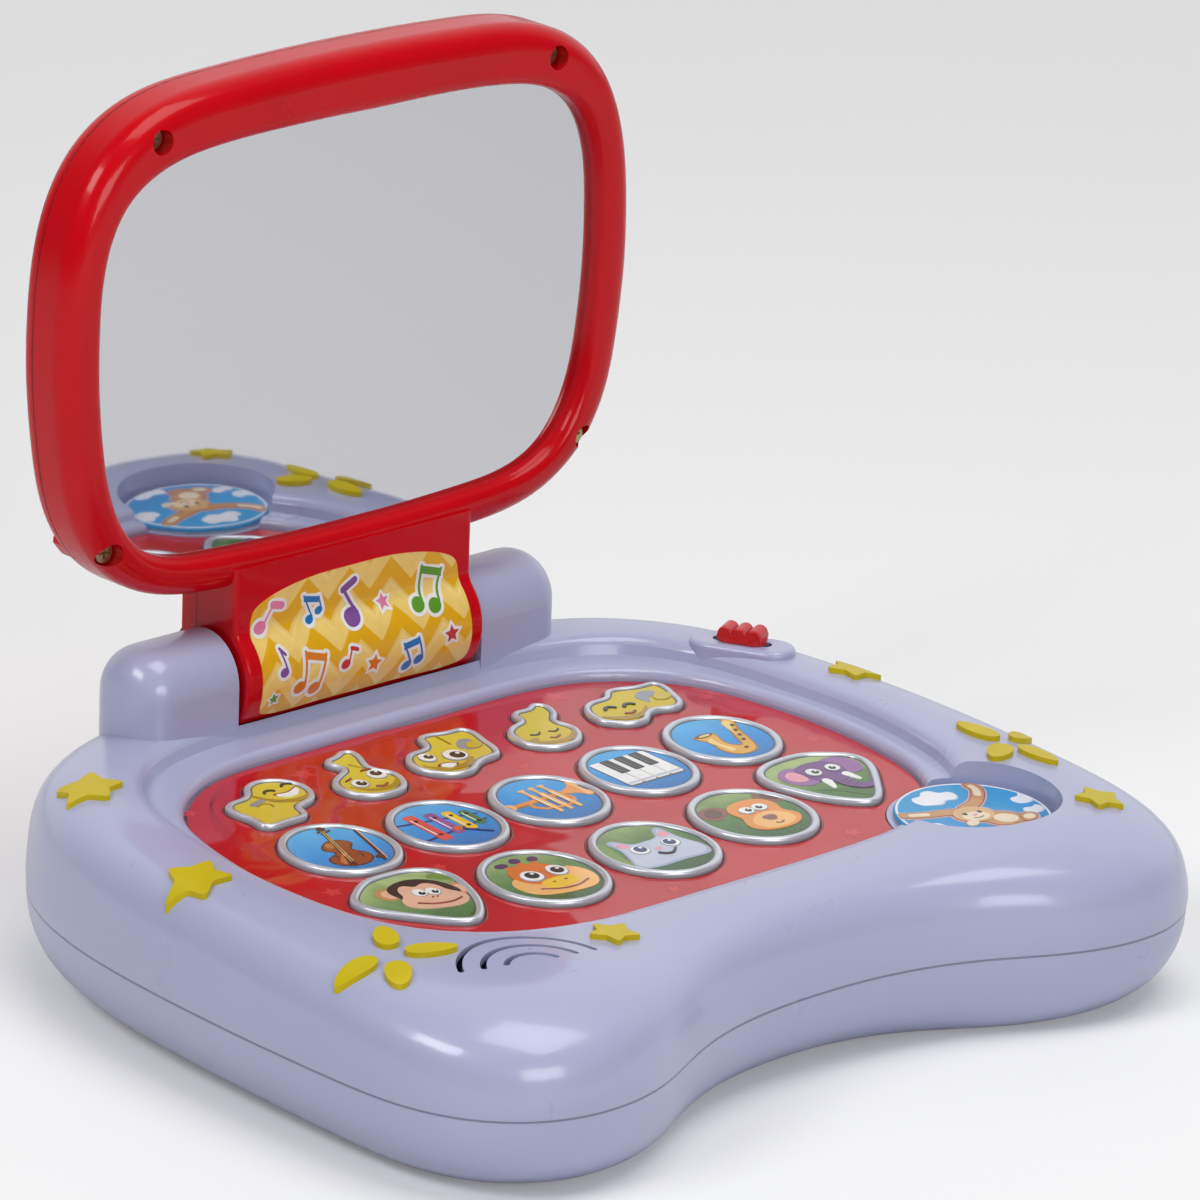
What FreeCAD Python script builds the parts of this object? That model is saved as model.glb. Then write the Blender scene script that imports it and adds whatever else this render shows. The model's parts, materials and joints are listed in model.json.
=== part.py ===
# Toy laptop: kidney-shaped base with a sloping key panel, and a mirrored lid
# on two hinge towers.  Millimetres.  +X is the user's right, -Y faces the
# user, +Z is up.  The origin is on the table, under the middle of the key
# panel.  Model at rest: lid open and upright, keys up, switch in the middle.
import FreeCAD, Part
import math
import os
import Sketcher

Vector = FreeCAD.Vector
Rotation = FreeCAD.Rotation
Placement = FreeCAD.Placement

doc = FreeCAD.newDocument("ToyLaptop")

# -------------------------------------------------------- driving dimensions
dims = doc.addObject("Spreadsheet::Sheet", "dims")
DIMENSIONS = [  # alias, value, note
    ("panel_slope", 2.0, "key panel tilt towards the user, degrees"),
    ("panel_height", 40.0, "key panel height over the table at its middle"),
    ("parting_height", 20.75, "height of the joint between the casings"),
    ("wall_thick", 2.4, "casing wall"),
    ("crest_side", 7.0, "rim height over the panel, sides and back"),
    ("crest_front", 5.0, "rim height over the panel, front"),
    ("ledge_rise", 2.7, "ledge height over the panel"),
    ("overlay_thick", 1.2, "red key panel thickness"),
    ("pocket_depth", 3.6, "depth of the pocket under the key panel"),
    ("sheet_thick", 0.35, "printed membrane sheet"),
    ("key_gap", 0.2, "gap around each key"),
    ("key_rise", 0.9, "key top over the panel"),
    ("disc_radius", 19.0, "lit picture disc"),
    ("disc_pos_x", 75.5, "disc centre"),
    ("disc_pos_y", -65.5, "disc centre"),
    ("hinge_pos_y", 79.0, "lid hinge axis"),
    ("hinge_pos_z", 57.7, "lid hinge axis"),
    ("knuckle_radius", 14.0, "lid knuckle"),
    ("arm_half", 37.5, "half width of the lid arm"),
    ("tower_gap", 1.2, "gap between arm and tower"),
    ("tower_radius", 11.8, "hinge tower crown"),
    ("tower_outer", 67.0, "outer end of a hinge tower from the middle"),
    ("pin_radius", 3.0, "hinge pin"),
    ("pin_clear", 0.06, "running clearance of the hinge pin"),
    ("mirror_plane", 75.85, "front face of the mirror"),
    ("lid_front", 4.5, "lid ridge in front of the mirror"),
    ("lid_split", 8.65, "lid joint behind the mirror face"),
    ("lid_back", 14.05, "back of the lid behind the mirror face"),
    ("cell_radius", 7.2, "AA cell"),
    ("cell_length", 50.2, "AA cell"),
    ("board_length", 104.0, "main circuit board"),
    ("board_width", 52.0, "main circuit board"),
    ("board_thick", 1.6, "main circuit board"),
    ("board_height", 26.0, "underside of the main circuit board"),
    ("door_length", 62.0, "battery door"),
    ("door_width", 54.0, "battery door"),
    ("door_thick", 2.0, "battery door"),
    ("decor_rise", 1.3, "raised stars and petals"),
    ("speaker_radius", 16.0, "loudspeaker"),
    ("magnet_radius", 9.0, "loudspeaker magnet"),
    ("magnet_height", 6.0, "loudspeaker magnet"),
    ("led_radius", 2.5, "lamp behind the disc"),
    ("screw_radius", 1.3, "self-tapping screw shank"),
    ("screw_head", 2.6, "self-tapping screw head"),
]
for row, (alias, value, note) in enumerate(DIMENSIONS, start=1):
    dims.set("A%d" % row, alias)
    dims.set("B%d" % row, repr(value))
    dims.set("C%d" % row, note)
    dims.setAlias("B%d" % row, alias)
doc.recompute()


def dim(name):
    return float(dims.get(name))


SLOPE = math.radians(dim("panel_slope"))
PARTING = dim("parting_height")
WALL = dim("wall_thick")
KEY_RISE = dim("key_rise")
DISC_RADIUS = dim("disc_radius")
DISC_X, DISC_Y = dim("disc_pos_x"), dim("disc_pos_y")
HINGE_Y, HINGE_Z = dim("hinge_pos_y"), dim("hinge_pos_z")
KNUCKLE = dim("knuckle_radius")
ARM_HALF = dim("arm_half")
TOWER_INNER = ARM_HALF + dim("tower_gap")
TOWER_OUTER = dim("tower_outer")
PIN_RADIUS = dim("pin_radius")
LID_FRONT, LID_SPLIT, LID_BACK = dim("lid_front"), dim("lid_split"), dim("lid_back")
SCREW_RADIUS, SCREW_HEAD = dim("screw_radius"), dim("screw_head")
BOARD_HEIGHT = dim("board_height")
BOARD_TOP = BOARD_HEIGHT + dim("board_thick")

# heights over the key panel
LEDGE = dim("ledge_rise")
SEAT = -dim("overlay_thick")
WELL = -dim("pocket_depth")
UNDERSIDE = WELL - 2.0

# key panel frame: local z is normal to the panel
PANEL = Placement(Vector(0, 0, dim("panel_height")),
                  Rotation(Vector(1, 0, 0), dim("panel_slope")))
# lid frame: local x = X, local y = height, local z = towards the user
LID = Placement(Vector(0, dim("mirror_plane"), 0), Rotation(Vector(1, 0, 0), 90))


def panel_z(y, rise=0.0):
    return dim("panel_height") + y * math.tan(SLOPE) + rise


# slide switch frame, on the right rear crest
SWITCH_X, SWITCH_Y = 96.0, 35.5
SWITCH = Placement(Vector(SWITCH_X, SWITCH_Y, panel_z(SWITCH_Y, 5.6)),
                   Rotation(Vector(0, 0, 1), -63))

# (x, y) of the casing screw bosses and of the circuit board posts
BOSSES = [(-103, -34), (103, -28), (-101, 24), (101, 18),
          (-36, -80), (36, -80), (-78, 74), (78, 74)]
POSTS = [(-47, -16), (47, -16), (-47, 28), (47, 28)]
BOSS_RADIUS = 3.6
SPEAKER_X, SPEAKER_Y = -80.0, -83.5

# ------------------------------------------------------------------ outlines
# Each outline is symmetric about the YZ plane; half of its points are listed.
# Base outlines, (x, y): widest line of the casing, foot of the rim's inner
# side, and pocket for the key panel.
BASE = [(0, -92.3), (14, -92.9), (30, -95.6), (46, -101.2), (61, -108.6),
        (75, -113.0), (87, -113.8), (98, -111.2), (107.5, -105.5),
        (114.5, -97.0), (118.8, -87.0), (121.0, -74.0), (121.6, -56),
        (121.5, -37), (120.6, -12), (119.2, 8), (116.5, 29), (113.0, 44),
        (107.5, 58.5), (99.5, 71.5), (89.0, 82.5), (76.0, 90.5), (60, 95.7),
        (42, 98.3), (20, 99.4), (0, 99.6)]
NEST = [(0, 67.2), (20, 67.2), (45, 66.8), (61.5, 63.8), (73.5, 58.3),
        (82.5, 49), (88.8, 34), (92.4, 15), (94.4, -3), (94, -18),
        (91.5, -34), (85.5, -48), (75, -58), (59, -64.3), (40, -66.6),
        (20, -67.0), (0, -67.0)]
POCKET = [(0, 57.6), (30, 57.6), (47, 57.0), (60, 54), (72, 46.7),
          (80.8, 36.5), (86.2, 21), (88.6, 6), (89.2, -8), (88.0, -22.6),
          (84.8, -36), (78.5, -47), (69.5, -55), (56, -60.5), (40, -62.6),
          (20, -63.0), (0, -63)]
# Lid outlines, (x, height): lid edge, mirror opening, sticker.
LID_EDGE = [(0, 79.8), (25, 79.9), (45, 80.6), (60, 83.4), (70, 88.4),
            (78.2, 96.2), (84, 107.2), (87.4, 123.0), (89, 138.8),
            (89, 153.8), (87.8, 167.0), (84.3, 180.2), (77.8, 191.2),
            (67.5, 199.4), (54, 203.9), (37, 205.5), (18, 206.2), (0, 206.4)]
MIRROR = [(0, 191.4), (22, 191.4), (43.6, 190.5), (55, 188.8), (64, 185.5),
          (70.5, 180.6), (75, 173.2), (77.5, 163.5), (78.3, 152),
          (78.2, 139), (77.0, 125.5), (74.4, 112), (70.2, 102.5),
          (64, 95.8), (55, 91.9), (40, 90.1), (20, 89.3), (0, 89.1)]
STICKER = [(0, 80.1), (12, 79.9), (22, 78.6), (29, 76.6), (32.0, 74.6),
           (33.0, 71.5), (33.2, 62), (33.2, 53.5), (32.4, 50.4),
           (29.5, 49.3), (15, 49.2), (0, 49.2)]


def full(half):
    return list(half) + [(-x, y) for x, y in reversed(half) if abs(x) > 1e-6]


# ------------------------------------------------------------- shape helpers
def closed_spline(points, z=0.0):
    """Closed spline through (x, y) points at height z, or (x, y, z) points."""
    curve = Part.BSplineCurve()
    curve.interpolate(Points=[Vector(p[0], p[1], z if len(p) < 3 else p[2]) for p in points],
                      PeriodicFlag=True)
    return curve


def wire(points, z=0.0):
    return Part.Wire([closed_spline(points, z).toShape()])


def plate(points, low, high):
    return Part.Face(wire(points, low)).extrude(Vector(0, 0, high - low))


def surface(wires, ruled=False):
    return Part.makeLoft(wires, False, ruled, False).Faces


def solid_of(faces):
    shell = Part.Shell(faces)
    shell.sewShape()
    solid = Part.Solid(shell)
    if solid.Volume < 0:
        solid.reverse()
    if not solid.isValid():
        solid.fix(1e-4, 1e-4, 1e-3)
    return solid


def fillet(shape, radius, pick):
    """Round the picked edges; the shape stays sharp if the kernel can't."""
    edges = [e for e in shape.Edges if pick(e)]
    if not edges:
        return shape
    # guards against a fillet on free-form edges that fails or comes out bad
    try:
        out = shape.makeFillet(radius, edges)
        if out.isValid() and not out.isNull() and out.Volume > 0:
            return out
    except Exception:
        pass
    return shape


def box(x_min, x_max, y_min, y_max, z_min, z_max):
    return Part.makeBox(x_max - x_min, y_max - y_min, z_max - z_min,
                        Vector(x_min, y_min, z_min))


def rounded_box(x_min, x_max, y_min, y_max, z_min, z_max, radius):
    block = box(x_min, x_max, y_min, y_max, z_min, z_max)
    upright = [e for e in block.Edges
               if abs(e.Vertexes[0].Z - e.Vertexes[-1].Z) > (z_max - z_min) * 0.5]
    return block.makeFillet(radius, upright)


def rod(radius, x, y, z_min, z_max):
    return Part.makeCylinder(radius, z_max - z_min, Vector(x, y, z_min))


def rod_x(radius, x_min, x_max, y, z):
    return Part.makeCylinder(radius, x_max - x_min, Vector(x_min, y, z), Vector(1, 0, 0))


def oval(length, width, z_min, z_max):
    half = width / 2.0
    reach = length / 2.0 - half
    ends = [rod(half, -reach, 0, z_min, z_max), rod(half, reach, 0, z_min, z_max)]
    return box(-reach, reach, -half, half, z_min, z_max).fuse(ends).removeSplitter()


def placed(shape, placement):
    moved = shape.copy()
    moved.Placement = placement.multiply(moved.Placement)
    return moved


def mirror_x(shape):
    return shape.mirror(Vector(0, 0, 0), Vector(1, 0, 0))


def largest(shape):
    return max(shape.Solids, key=lambda solid: solid.Volume)


def crossed(shape, x, y, z_min, z_max):
    """Cut a cross recess in a screw head."""
    return shape.cut([box(x - 1.5, x + 1.5, y - 0.28, y + 0.28, z_min, z_max),
                      box(x - 0.28, x + 0.28, y - 1.5, y + 1.5, z_min, z_max)])


# ---------------------------------------------------------- document helpers
NODES = []  # the objects that are exported


def feature(label, shape, placement=None):
    obj = doc.addObject("Part::Feature", label)
    obj.Shape = shape
    if placement is not None:
        obj.Placement = placement
    NODES.append(obj)


def primitive(kind, name, placement=Placement(), **sizes):
    """A Part primitive; a size given as text is bound as an expression."""
    obj = doc.addObject("Part::" + kind, name)
    for prop, size in sizes.items():
        if isinstance(size, str):
            obj.setExpression(prop, size)
        else:
            setattr(obj, prop, size)
    obj.Placement = placement
    return obj


def body_sketch(body, name, role):
    sketch = body.newObject("Sketcher::SketchObject", name)
    plane = [f for f in body.Origin.OriginFeatures if f.Role == role][0]
    sketch.AttachmentSupport = [(plane, "")]
    sketch.MapMode = "FlatFace"
    return sketch


def add_polygon(sketch, corners):
    count = len(corners)
    for i in range(count):
        start, end = corners[i], corners[(i + 1) % count]
        sketch.addGeometry(Part.LineSegment(Vector(*start, 0), Vector(*end, 0)), False)
    for i in range(count):
        sketch.addConstraint(Sketcher.Constraint("Coincident", i, 2, (i + 1) % count, 1))


def turned(label, profile, placement):
    """A PartDesign body: a closed (radius, height) profile turned about Z."""
    body = doc.addObject("PartDesign::Body", label)
    sketch = body_sketch(body, label + "_sketch", "XZ_Plane")
    add_polygon(sketch, profile)
    turn = body.newObject("PartDesign::Revolution", label + "_turn")
    turn.Profile = sketch
    turn.ReferenceAxis = (sketch, ["V_Axis"])
    turn.Angle = 360
    body.Placement = placement
    NODES.append(body)


# ------------------------------------------------------- skins of the casing
RING_COUNT = 72          # points on every ring
ANGLES = [2 * math.pi * k / RING_COUNT for k in range(RING_COUNT)]
CREST_OUT = 5.0          # crest of the rim outside the nest outline
SIDE_POWER = 3.4         # squareness of the upper casing's side
TRAY_POWER = 2.15        # squareness of the lower casing's side
TRAY_INSET = 20.0        # flat base inside the widest line


def outline_radii(half):
    """Radius of an outline along equally spaced directions from the origin."""
    samples = sorted((math.atan2(p.y, p.x) % (2 * math.pi), math.hypot(p.x, p.y))
                     for p in closed_spline(full(half)).discretize(1400))
    radii = []
    for angle in ANGLES:
        after = next((j for j, sample in enumerate(samples) if sample[0] > angle), 0)
        angle_lo, radius_lo = samples[after - 1]
        angle_hi, radius_hi = samples[after]
        if angle_lo > angle + 1e-9:
            angle_lo -= 2 * math.pi
        if angle_hi < angle_lo:
            angle_hi += 2 * math.pi
        part = (angle - angle_lo) / (angle_hi - angle_lo)
        radii.append(radius_lo + (radius_hi - radius_lo) * part)
    # mirror symmetry about the YZ plane, made exact
    return [0.5 * (radii[k] + radii[(RING_COUNT // 2 - k) % RING_COUNT])
            for k in range(RING_COUNT)]


BASE_RADII = outline_radii(BASE)
NEST_RADII = outline_radii(NEST)
POCKET_RADII = outline_radii(POCKET)


def crest_height(k):
    """Rim height over the panel: low in front, blending up to the sides."""
    from_front = abs((math.degrees(ANGLES[k]) - 90) % 360 - 180)
    blend = min(1.0, max(0.0, (from_front - 22) / 38.0))
    blend = blend * blend * (3 - 2 * blend)
    return dim("crest_front") + (dim("crest_side") - dim("crest_front")) * blend


def swell(x, y):
    """Soft wrist-rest swellings on the two front lobes."""
    return 1.5 * math.exp(-((abs(x) - 76) / 25.0) ** 2 - ((y + 92) / 11.0) ** 2)


def side_section(degrees, exponent):
    """Superellipse quarter: how far inwards and how far along in height, 0 to 1."""
    if degrees in (0, 90):
        return degrees / 90.0, degrees / 90.0
    angle = math.radians(degrees)
    return 1 - math.cos(angle) ** (2.0 / exponent), math.sin(angle) ** (2.0 / exponent)


def level_ring(radii, step, rise, scale=1.0):
    """A ring in a plane parallel to the key panel, rise over it."""
    points = []
    for radius, angle in zip(radii, ANGLES):
        reach = radius * scale + step
        flat = Vector(reach * math.cos(angle), reach * math.sin(angle), rise)
        points.append(tuple(PANEL.multVec(flat)))
    return wire(points)


def side_rings(shrink=0.0, drop=0.0, inset=0.0, lift=0.0):
    """Rings from the joint plane up the round side and over the crest."""
    wires = []
    for degrees in (0, 9, 20, 33, 48, 63, 77, 90):
        inward, climb = side_section(degrees, SIDE_POWER)
        ring = []
        for k, angle in enumerate(ANGLES):
            foot = BASE_RADII[k] - shrink + lift * (1 - inward) * 0.8
            crest = NEST_RADII[k] + CREST_OUT + inset * 0.4
            radius = foot - inward * (foot - crest)
            x = radius * math.cos(angle)
            y = radius * math.sin(angle)
            top = panel_z(crest * math.sin(angle), crest_height(k)) - drop + lift
            z = PARTING + climb * (top - PARTING)
            if climb > 0.55:
                z += swell(x, y) * min(1.0, (climb - 0.55) / 0.35)
            ring.append((x, y, z))
        wires.append(wire(ring))
    for step, down in ((2.9, 0.25), (1.4, 1.0), (0.6, 2.0)):
        ring = []
        for k, angle in enumerate(ANGLES):
            radius = NEST_RADII[k] + inset + step
            crest = NEST_RADII[k] + CREST_OUT
            z = panel_z(crest * math.sin(angle), crest_height(k)) - drop + lift
            if inset == 0:
                # stay over the ledge where the rim is low
                z -= down * (crest_height(k) - LEDGE) / (dim("crest_side") - LEDGE)
            else:
                z -= down * 1.6
            ring.append((radius * math.cos(angle), radius * math.sin(angle), z))
        wires.append(wire(ring))
    return wires


def skin_body(lift):
    """Closed body under a copy of the outer skin, used to trim other shapes."""
    rings = side_rings(lift=lift)
    last = level_ring(NEST_RADII, 0.0, -16)
    faces = surface(rings) + surface([rings[-1], last], True)
    faces += [Part.Face(rings[0]), Part.Face(last)]
    return solid_of(faces)


def tray(shrink, floor):
    """Closed body of the lower casing: joint plane down to the flat base."""
    wires = []
    for degrees in (0, 12, 26, 42, 58, 74, 90):
        inward, fall = side_section(degrees, TRAY_POWER)
        ring = []
        for base_radius, angle in zip(BASE_RADII, ANGLES):
            radius = base_radius - shrink - inward * (TRAY_INSET - shrink * 0.6)
            ring.append((radius * math.cos(angle), radius * math.sin(angle),
                         PARTING - fall * (PARTING - floor)))
        wires.append(wire(ring))
    return Part.makeLoft(wires, True, False, False)


OUTER_SKIN = skin_body(0.0)

# ------------------------------------------------------------- upper casing
LEDGE_ROUND = 2.2        # rounded edge between ledge and pocket
SEAT_SCALE = 0.96        # inner edge of the overlay's seat, part of the pocket
LAMP_HOLE = 14.0
# radius and arc, degrees, of the loudspeaker slots
SPEAKER_SLOTS = [(17.6, 2, 152), (12.2, 4, 148), (7.0, 12, 135)]
SLOT_HALF = 0.75


def upper_shell():
    outer_rings = side_rings()
    wall_foot = level_ring(NEST_RADII, 0.0, LEDGE)
    rolls = []
    for degrees in (0, 22, 45, 68, 90):
        angle = math.radians(degrees)
        rolls.append(level_ring(POCKET_RADII, LEDGE_ROUND * (1 - math.sin(angle)),
                                LEDGE - LEDGE_ROUND * (1 - math.cos(angle))))
    seat_edge = level_ring(POCKET_RADII, 0.0, SEAT)
    seat_inner = level_ring(POCKET_RADII, 0.0, SEAT, SEAT_SCALE)
    well_edge = level_ring(POCKET_RADII, 0.0, WELL, SEAT_SCALE)
    faces = surface(outer_rings)
    faces += surface([outer_rings[-1], wall_foot], True)
    faces += surface([wall_foot, rolls[0]], True)
    faces += surface(rolls)
    faces += surface([rolls[-1], seat_edge], True)
    faces += surface([seat_edge, seat_inner], True)
    faces += surface([seat_inner, well_edge], True)
    faces += [Part.Face(well_edge)]
    # the inside skin, one wall thickness in
    inner_rings = side_rings(WALL, WALL, WALL + 0.2)
    under_edge = level_ring(NEST_RADII, WALL + 0.8, UNDERSIDE)
    faces += surface(inner_rings)
    faces += surface([inner_rings[-1], under_edge], True)
    faces += [Part.Face(under_edge)]
    faces += [Part.Face([outer_rings[0], inner_rings[0]])]
    return solid_of(faces)


def tower(shrink, foot, x_min, x_max, end_radius):
    """Right hinge tower with a rounded crown and a domed outer end."""
    radius = dim("tower_radius") - shrink
    crown = rod_x(radius, x_min, x_max, HINGE_Y, HINGE_Z)
    stalk = box(x_min, x_max, HINGE_Y - radius, HINGE_Y + radius, foot, HINGE_Z)
    shape = crown.fuse(stalk).removeSplitter()
    far = [e for e in shape.Edges
           if e.BoundBox.XMin > x_max - 0.01 and e.BoundBox.ZMax > foot + 1]
    # guards against a failed fillet, which leaves the end flat
    try:
        shape = shape.makeFillet(end_radius, far)
    except Exception:
        pass
    return shape


def on_disc(radius, z_min, z_max):
    """A rod on the picture disc's axis, square to the key panel."""
    return placed(rod(radius, DISC_X, DISC_Y, z_min, z_max), PANEL)


def disc_seat_wall():
    """Wall under the crest, stepped down with the ledge's rounded edge."""
    radius = DISC_RADIUS + 3.4
    pieces = [on_disc(radius, UNDERSIDE, 30).common(skin_body(-0.5))]
    for outside, top in ((0.05, 0.4), (0.5, 1.7), (1.3, LEDGE - 0.15)):
        pocket = Part.Face(level_ring(POCKET_RADII, outside, -8))
        pocket = pocket.extrude(PANEL.Rotation.multVec(Vector(0, 0, 40)))
        pieces.append(on_disc(radius, UNDERSIDE, top).cut(pocket))
    return [solid for piece in pieces for solid in piece.Solids]


def arc_slot(radius, start, end):
    """An arc-shaped slot with round ends about the loudspeaker's axis."""
    sweep = [Part.makeCylinder(edge, 30, Vector(SPEAKER_X, SPEAKER_Y, 25),
                               Vector(0, 0, 1), end - start)
             for edge in (radius + SLOT_HALF, radius - SLOT_HALF)]
    slot = sweep[0].cut(sweep[1])
    slot.rotate(Vector(SPEAKER_X, SPEAKER_Y, 0), Vector(0, 0, 1), start)
    ends = [rod(SLOT_HALF, SPEAKER_X + radius * math.cos(math.radians(degrees)),
                SPEAKER_Y + radius * math.sin(math.radians(degrees)), 25, 55)
            for degrees in (start, end)]
    return slot.fuse(ends)


def upper_additions():
    tower_outside = tower(0.0, 30.0, TOWER_INNER, TOWER_OUTER, 9.5)
    surround = oval(27.0, 11.5, -4.0, 3.0)
    surround = fillet(surround, 1.4, lambda e: e.BoundBox.ZMin > 2.9)
    disc_tube = rod(DISC_RADIUS + 1.5, DISC_X, DISC_Y, UNDERSIDE, 0.3)
    disc_tube = disc_tube.cut(rod(LAMP_HOLE, DISC_X, DISC_Y, -20, 5))
    trough_wall = rod_x(KNUCKLE + 3.0, -TOWER_INNER - 0.5, TOWER_INNER + 0.5, HINGE_Y, HINGE_Z)
    trough_wall = trough_wall.common(box(-80, 80, 60, 97, 20, 47.5)).common(OUTER_SKIN)
    bosses = Part.makeCompound([rod(BOSS_RADIUS, x, y, PARTING, 50) for x, y in BOSSES])
    return ([tower_outside, mirror_x(tower_outside), placed(surround, SWITCH),
             placed(disc_tube, PANEL), trough_wall]
            + disc_seat_wall() + bosses.common(OUTER_SKIN).Solids)


def upper_cuts():
    tower_hollow = tower(WALL, 20.0, TOWER_INNER + 7.0, TOWER_OUTER - WALL, 7.0)
    bore = rod_x(PIN_RADIUS + dim("pin_clear"), TOWER_INNER - 1, TOWER_INNER + 12,
                 HINGE_Y, HINGE_Z)
    cuts = [
        on_disc(DISC_RADIUS + 1.6, 0.3, 30),
        on_disc(LAMP_HOLE, -20, 5),
        tower_hollow, mirror_x(tower_hollow),
        # trough for the lid knuckle, open above
        rod_x(KNUCKLE + 0.7, -TOWER_INNER, TOWER_INNER, HINGE_Y, HINGE_Z),
        box(-TOWER_INNER, TOWER_INNER, HINGE_Y - 13.2, 93.5, HINGE_Z - 6, HINGE_Z + 20),
        bore, mirror_x(bore)]
    cuts += [arc_slot(*slot) for slot in SPEAKER_SLOTS]
    # slot for the switch stem, flex-tail slot for the membrane
    cuts.append(placed(oval(15.2, 3.6, -8, 8), SWITCH))
    cuts.append(placed(box(-9, 9, 49.5, 50.6, -12, -1), PANEL))
    # relief in the seat under the tip of the fifth note key
    cuts.append(placed(rod(3.7, 71.0, 40.2, -2.6, -1.0), PANEL))
    cuts += [rod(SCREW_RADIUS + 0.05, x, y, 10, 35.0) for x, y in BOSSES]
    return cuts


feature("upper_casing", largest(upper_shell().fuse(upper_additions()).cut(upper_cuts())))

# ------------------------------------------------------------- lower casing
BATTERY_Y = 6.0          # middle of the battery box and its door
DOOR_THICK = dim("door_thick")
DOOR_EDGE = BATTERY_Y + dim("door_width") / 2     # rear edge of the door
DOOR_SCREW_Y = DOOR_EDGE + 2.0


def door_block(margin, z_min, z_max, radius=None):
    """A block of the door's outline grown by margin, corners rounded if asked."""
    half_x = dim("door_length") / 2 + margin
    half_y = dim("door_width") / 2 + margin
    limits = (-half_x, half_x, BATTERY_Y - half_y, BATTERY_Y + half_y, z_min, z_max)
    return box(*limits) if radius is None else rounded_box(*limits, radius)


def lower_casing():
    shape = tray(0.0, 0.0).cut(tray(WALL, WALL))
    bosses = Part.makeCompound([rod(BOSS_RADIUS, x, y, 0.5, PARTING - 0.05)
                                for x, y in BOSSES])
    shape = shape.fuse(bosses.common(tray(0.4, 0.3)).Solids)
    # battery box walls, the tab for the door screw and the door opening
    bay = door_block(-1.5, -1, 17.2)
    shape = shape.fuse(door_block(2, 1.0, 19.0)).cut(bay)
    tab = box(-6, 6, DOOR_EDGE - 3, DOOR_EDGE + 8.5, 1.0, 12.0)
    shape = shape.fuse(tab.cut(bay))
    shape = shape.cut(door_block(0.25, -1, DOOR_THICK + 0.1, 2.0))
    shape = shape.cut(rounded_box(-5.25, 5.25, DOOR_EDGE - 1.8, DOOR_EDGE + 6.25,
                                  -1, DOOR_THICK + 0.1, 1.2))
    shape = shape.cut(rod(1.25, 0, DOOR_SCREW_Y, 0, 10.5))
    shape = shape.fuse([rod(2.6, x, y, 1.2, BOARD_HEIGHT) for x, y in POSTS])
    cuts = [box(-200, 200, -200, 200, -5, 0)]
    for x, y in BOSSES:
        cuts.append(rod(SCREW_HEAD + 0.35, x, y, -1, 13.0))
        cuts.append(rod(SCREW_RADIUS + 0.25, x, y, -1, 30.0))
    cuts += [rod(0.9, x, y, 18, 30) for x, y in POSTS]
    return largest(shape.cut(cuts))


feature("lower_casing", lower_casing())

# ---------------------------------------------------------- battery section
CELL_PITCH = 15.2
CELL_Z = 9.85
NUB_LENGTH = 1.2
NUB_RADIUS = 2.6
CELL_MIN_X = -24.6       # flat end of the outer cells
CELL_MAX_X = CELL_MIN_X + dim("cell_length") - NUB_LENGTH
CONTACT_OUTER, CONTACT_INNER = 29.45, 29.05       # faces of a contact plate


def battery_door():
    door = door_block(0, 0, DOOR_THICK, 1.8)
    tongue = rounded_box(-5, 5, DOOR_EDGE - 2, DOOR_EDGE + 6, 0, DOOR_THICK, 1.0)
    door = door.fuse(tongue).removeSplitter()
    door = door.cut([rod(2.7, 0, DOOR_SCREW_Y, -1, 1.1), rod(1.45, 0, DOOR_SCREW_Y, -1, 5)])
    return door.cut([box(-16, 16, BATTERY_Y - 21 + 4 * i, BATTERY_Y - 19.6 + 4 * i, -1, 0.4)
                     for i in range(3)])


def battery_cells():
    """Three cells side by side; the middle one points the other way."""
    cells = []
    for i in (-1, 0, 1):
        y = BATTERY_Y + CELL_PITCH * i
        can = rod_x(dim("cell_radius"), CELL_MIN_X, CELL_MAX_X, y, CELL_Z)
        nub_x = CELL_MAX_X if i != 0 else CELL_MIN_X - NUB_LENGTH
        cells.append(can.fuse(rod_x(NUB_RADIUS, nub_x, nub_x + NUB_LENGTH, y, CELL_Z)))
    return Part.makeCompound(cells)


def battery_contacts():
    contacts = []
    for i in (-1, 0, 1):
        y = BATTERY_Y + CELL_PITCH * i
        for side in (-1, 1):
            x_min, x_max = sorted((CONTACT_OUTER * side, CONTACT_INNER * side))
            contact = box(x_min, x_max, y - 4.5, y + 4.5, 4.0, 14.5)
            at_nub = (side > 0) != (i == 0)
            tip_x = 25.85 if at_nub else 24.95
            cone = Part.makeCone(3.6, 2.2, CONTACT_INNER - tip_x,
                                 Vector(CONTACT_INNER * side, y, CELL_Z), Vector(-side, 0, 0))
            contacts.append(contact.fuse(cone))
    return Part.makeCompound(contacts)


feature("battery_door", battery_door())
turned("battery_door_screw",
       [(0, 0), (2.5, 0), (2.5, 0.98), (1.15, 0.98), (1.15, 8.6), (0, 9.4)],
       Placement(Vector(0, DOOR_SCREW_Y, 0.1), Rotation()))
feature("battery_cells", battery_cells())
feature("battery_contacts", battery_contacts())

# ------------------------------------------------------------- electronics
BOARD_Y = 6.0            # middle of the board
BOARD_HOLE = 1.15        # radius
# square components on the board: x limits, y limits, height
COMPONENTS = [(14, 24, 0, 8, 1.8), (-34, -30, 8, 14, 1.0), (30, 33, 12, 16, 0.8),
              (-8, 8, 24, 29, 2.4)]
CABLE_RADIUS = 0.55
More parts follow.
